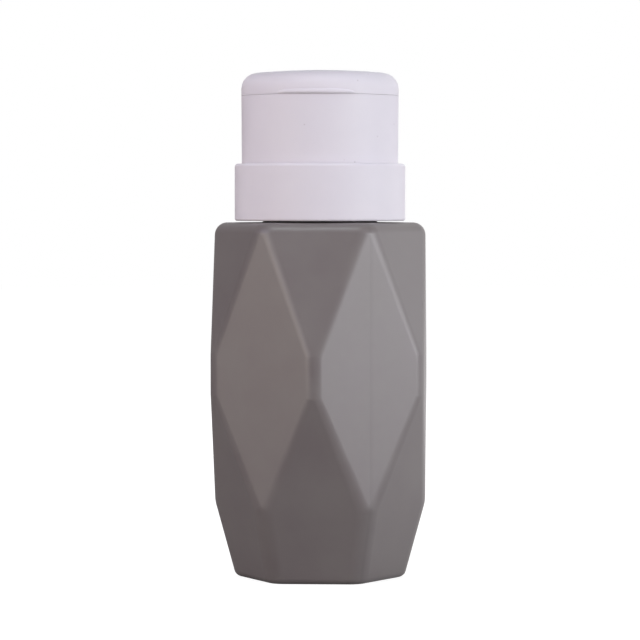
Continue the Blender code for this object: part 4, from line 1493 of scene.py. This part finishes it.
@dataclass
class Studio:
    """Pale floor, white surroundings, soft lamps and the camera.

    Attributes:
        lamps: The lamps.
        ambient: Strength of the surroundings' light on the object.
        paper: Tone of the floor under the lamps, sRGB hex.
        floor_radius: Radius of the floor, mm.
        near_glow: Brightness of the floor's own white beside the object.
        glow_reach: Distances between which that white becomes full, mm.
        dark_side: Brightness of the left of the room in reflections.
        bright_side: Brightness of the right of the room and of the floor in reflections.
        room_span: Sideways directions between which the room becomes bright.
        floor_span: Sideways places between which the floor becomes bright, metres.
        camera_azimuth: Direction of the camera, degrees.
        camera_distance: Distance of the camera from the axis, mm.
        camera_height: Height of the camera, mm.
        aim_height: Height that it looks at, mm.
        lens: Focal length, mm.
        sensor: Width of the sensor, mm.
    """

    lamps: tuple[Softbox, ...] = (
        Softbox("right_box", 65.0, 5.0, 520.0, 7.8, "#F9FAFF"),
        Softbox("side_box", 112.0, 5.0, 560.0, 0.95, "#F6F8FF"),
        Softbox("left_box", -50.0, 5.0, 450.0, 3.4, "#FFF2E4"),
        Softbox("left_high_box", -50.0, 35.0, 450.0, 2.3, "#E0DEFC"),
        Softbox("high_box", -8.0, 66.0, 140.0, 1.5, "#F4FFFF"),
        Softbox("edge_box", -33.0, 10.0, 120.0, 0.5, "#FFFFFF"),
        Softbox("back_box", 175.0, 30.0, 450.0, 3.0, "#FFFFFF", mirrored=False),
    )
    ambient: float = 0.02
    paper: str = "#8C8B8A"
    floor_radius: float = 3000.0
    near_glow: float = 0.9
    glow_reach: tuple[float, float] = (100.0, 450.0)
    dark_side: float = 0.04
    bright_side: tuple[float, float] = (1.0, 0.95)
    room_span: tuple[float, float] = (-1.0, 0.6)
    floor_span: tuple[float, float] = (-0.02, 0.12)
    camera_azimuth: float = 3.0
    camera_distance: float = 900.0
    camera_height: float = 104.0
    aim_height: float = 71.1
    lens: float = 183.1
    sensor: float = 36.0

    def shown_white(self, tree: Tree, place: Socket, span: tuple[float, float], full: float) -> Socket:
        """Share of the white that a ray sees: all of it for the eye, less on the left in reflections.

        Args:
            tree: Node tree that asks.
            place: Where the ray looks or lands.
            span: Values of X between which the dark left side becomes bright.
            full: Brightness of the bright side.

        Returns:
            One for the eye, up to one for glossy and transmission rays, zero for light.
        """
        path = add_node(tree, "ShaderNodeLightPath").outputs
        sideways = add_node(tree, "ShaderNodeSeparateXYZ", links={0: place}).outputs["X"]
        fall = {"From Min": span[0], "From Max": span[1], "To Min": self.dark_side, "To Max": full}
        wall = add_node(tree, "ShaderNodeMapRange", {}, fall, {"Value": sideways}).outputs["Result"]
        either = {0: path["Is Glossy Ray"], 1: path["Is Transmission Ray"]}
        mirrored = add_node(tree, "ShaderNodeMath", {"operation": "MAXIMUM"}, {}, either).outputs[0]
        dimmed = {0: mirrored, 1: wall}
        room = add_node(tree, "ShaderNodeMath", {"operation": "MULTIPLY"}, {}, dimmed).outputs[0]
        seen = {0: path["Is Camera Ray"], 1: room}
        return add_node(tree, "ShaderNodeMath", {"operation": "MAXIMUM"}, {}, seen).outputs[0]

    def surroundings(self) -> None:
        """White all round for the eye, and a gentle light for the object."""
        world = bpy.data.worlds.new("white_room")
        world.use_nodes = True
        tree = world.node_tree
        inputs = tree.nodes["Background"].inputs
        direction = add_node(tree, "ShaderNodeTexCoord").outputs["Generated"]
        shown = self.shown_white(tree, direction, self.room_span, self.bright_side[0])
        most = {"operation": "MAXIMUM"}
        strength = add_node(tree, "ShaderNodeMath", most, {1: self.ambient}, {0: shown}).outputs[0]
        inputs["Color"].default_value = (1.0, 1.0, 1.0, 1.0)
        tree.links.new(strength, inputs["Strength"])
        bpy.context.scene.world = world

    def floor(self) -> None:
        """Plain pale floor that keeps the object's soft shadow."""
        mesh = bmesh.new()
        bmesh.ops.create_circle(mesh, cap_ends=True, segments=FINE_STEPS, radius=self.floor_radius * MM)
        item = make_item("floor", mesh)
        # Matt paper takes the shadow, and glows white where the eye or a reflection meets it.
        material = bpy.data.materials.new("paper_sweep_white")
        material.use_nodes = True
        tree = material.node_tree
        tree.nodes.remove(tree.nodes["Principled BSDF"])
        paper = add_node(tree, "ShaderNodeBsdfDiffuse", {}, {"Color": linear(self.paper)}).outputs[0]
        place = add_node(tree, "ShaderNodeTexCoord").outputs["Object"]
        away = add_node(tree, "ShaderNodeVectorMath", {"operation": "LENGTH"}, {}, {0: place})
        near, far = self.glow_reach
        smooth = {"interpolation_type": "SMOOTHSTEP"}
        span = {"From Min": near * MM, "From Max": far * MM, "To Min": self.near_glow, "To Max": 1.0}
        level = add_node(tree, "ShaderNodeMapRange", smooth, span, {"Value": away.outputs["Value"]})
        shown = self.shown_white(tree, place, self.floor_span, self.bright_side[1])
        both = {0: level.outputs["Result"], 1: shown}
        glow = add_node(tree, "ShaderNodeMath", {"operation": "MULTIPLY"}, {}, both).outputs[0]
        white = add_node(tree, "ShaderNodeEmission", links={"Strength": glow}).outputs[0]
        surface = add_node(tree, "ShaderNodeAddShader", links={0: paper, 1: white}).outputs[0]
        tree.links.new(surface, tree.nodes["Material Output"].inputs["Surface"])
        item.data.materials.append(material)

    def camera(self) -> None:
        """Put the camera where the photograph was taken from."""
        data = bpy.data.cameras.new("camera")
        data.sensor_width = self.sensor
        data.lens = self.lens
        item = bpy.data.objects.new("camera", data)
        bpy.context.scene.collection.objects.link(item)
        around = math.radians(self.camera_azimuth)
        reach = self.camera_distance * MM
        item.location = (reach * math.sin(around), -reach * math.cos(around), self.camera_height * MM)
        look = Vector((0.0, 0.0, self.aim_height * MM)) - item.location
        item.rotation_mode = "QUATERNION"
        item.rotation_quaternion = look.to_track_quat("-Z", "Y")
        bpy.context.scene.camera = item

    def build(self) -> None:
        """Set the stage."""
        target = Vector((0.0, 0.0, self.aim_height * MM))
        for lamp in self.lamps:
            lamp.place(target)
        self.surroundings()
        self.floor()
        self.camera()
        bpy.context.scene.view_settings.view_transform = "Standard"


def main() -> None:
    """Build the sub-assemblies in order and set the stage."""
    logging.basicConfig(level=logging.INFO, format="%(message)s")
    hinge = Hinge()
    assemblies = (FacetedBottle(), ScrewClosure(), PumpEngine(), PressHead(hinge), FlipLid(hinge))
    for assembly in assemblies:
        pieces = assembly.build()
        LOG.info("%s has %d pieces", type(assembly).__name__, len(pieces))
    Studio().build()


if __name__ == "__main__":
    main()
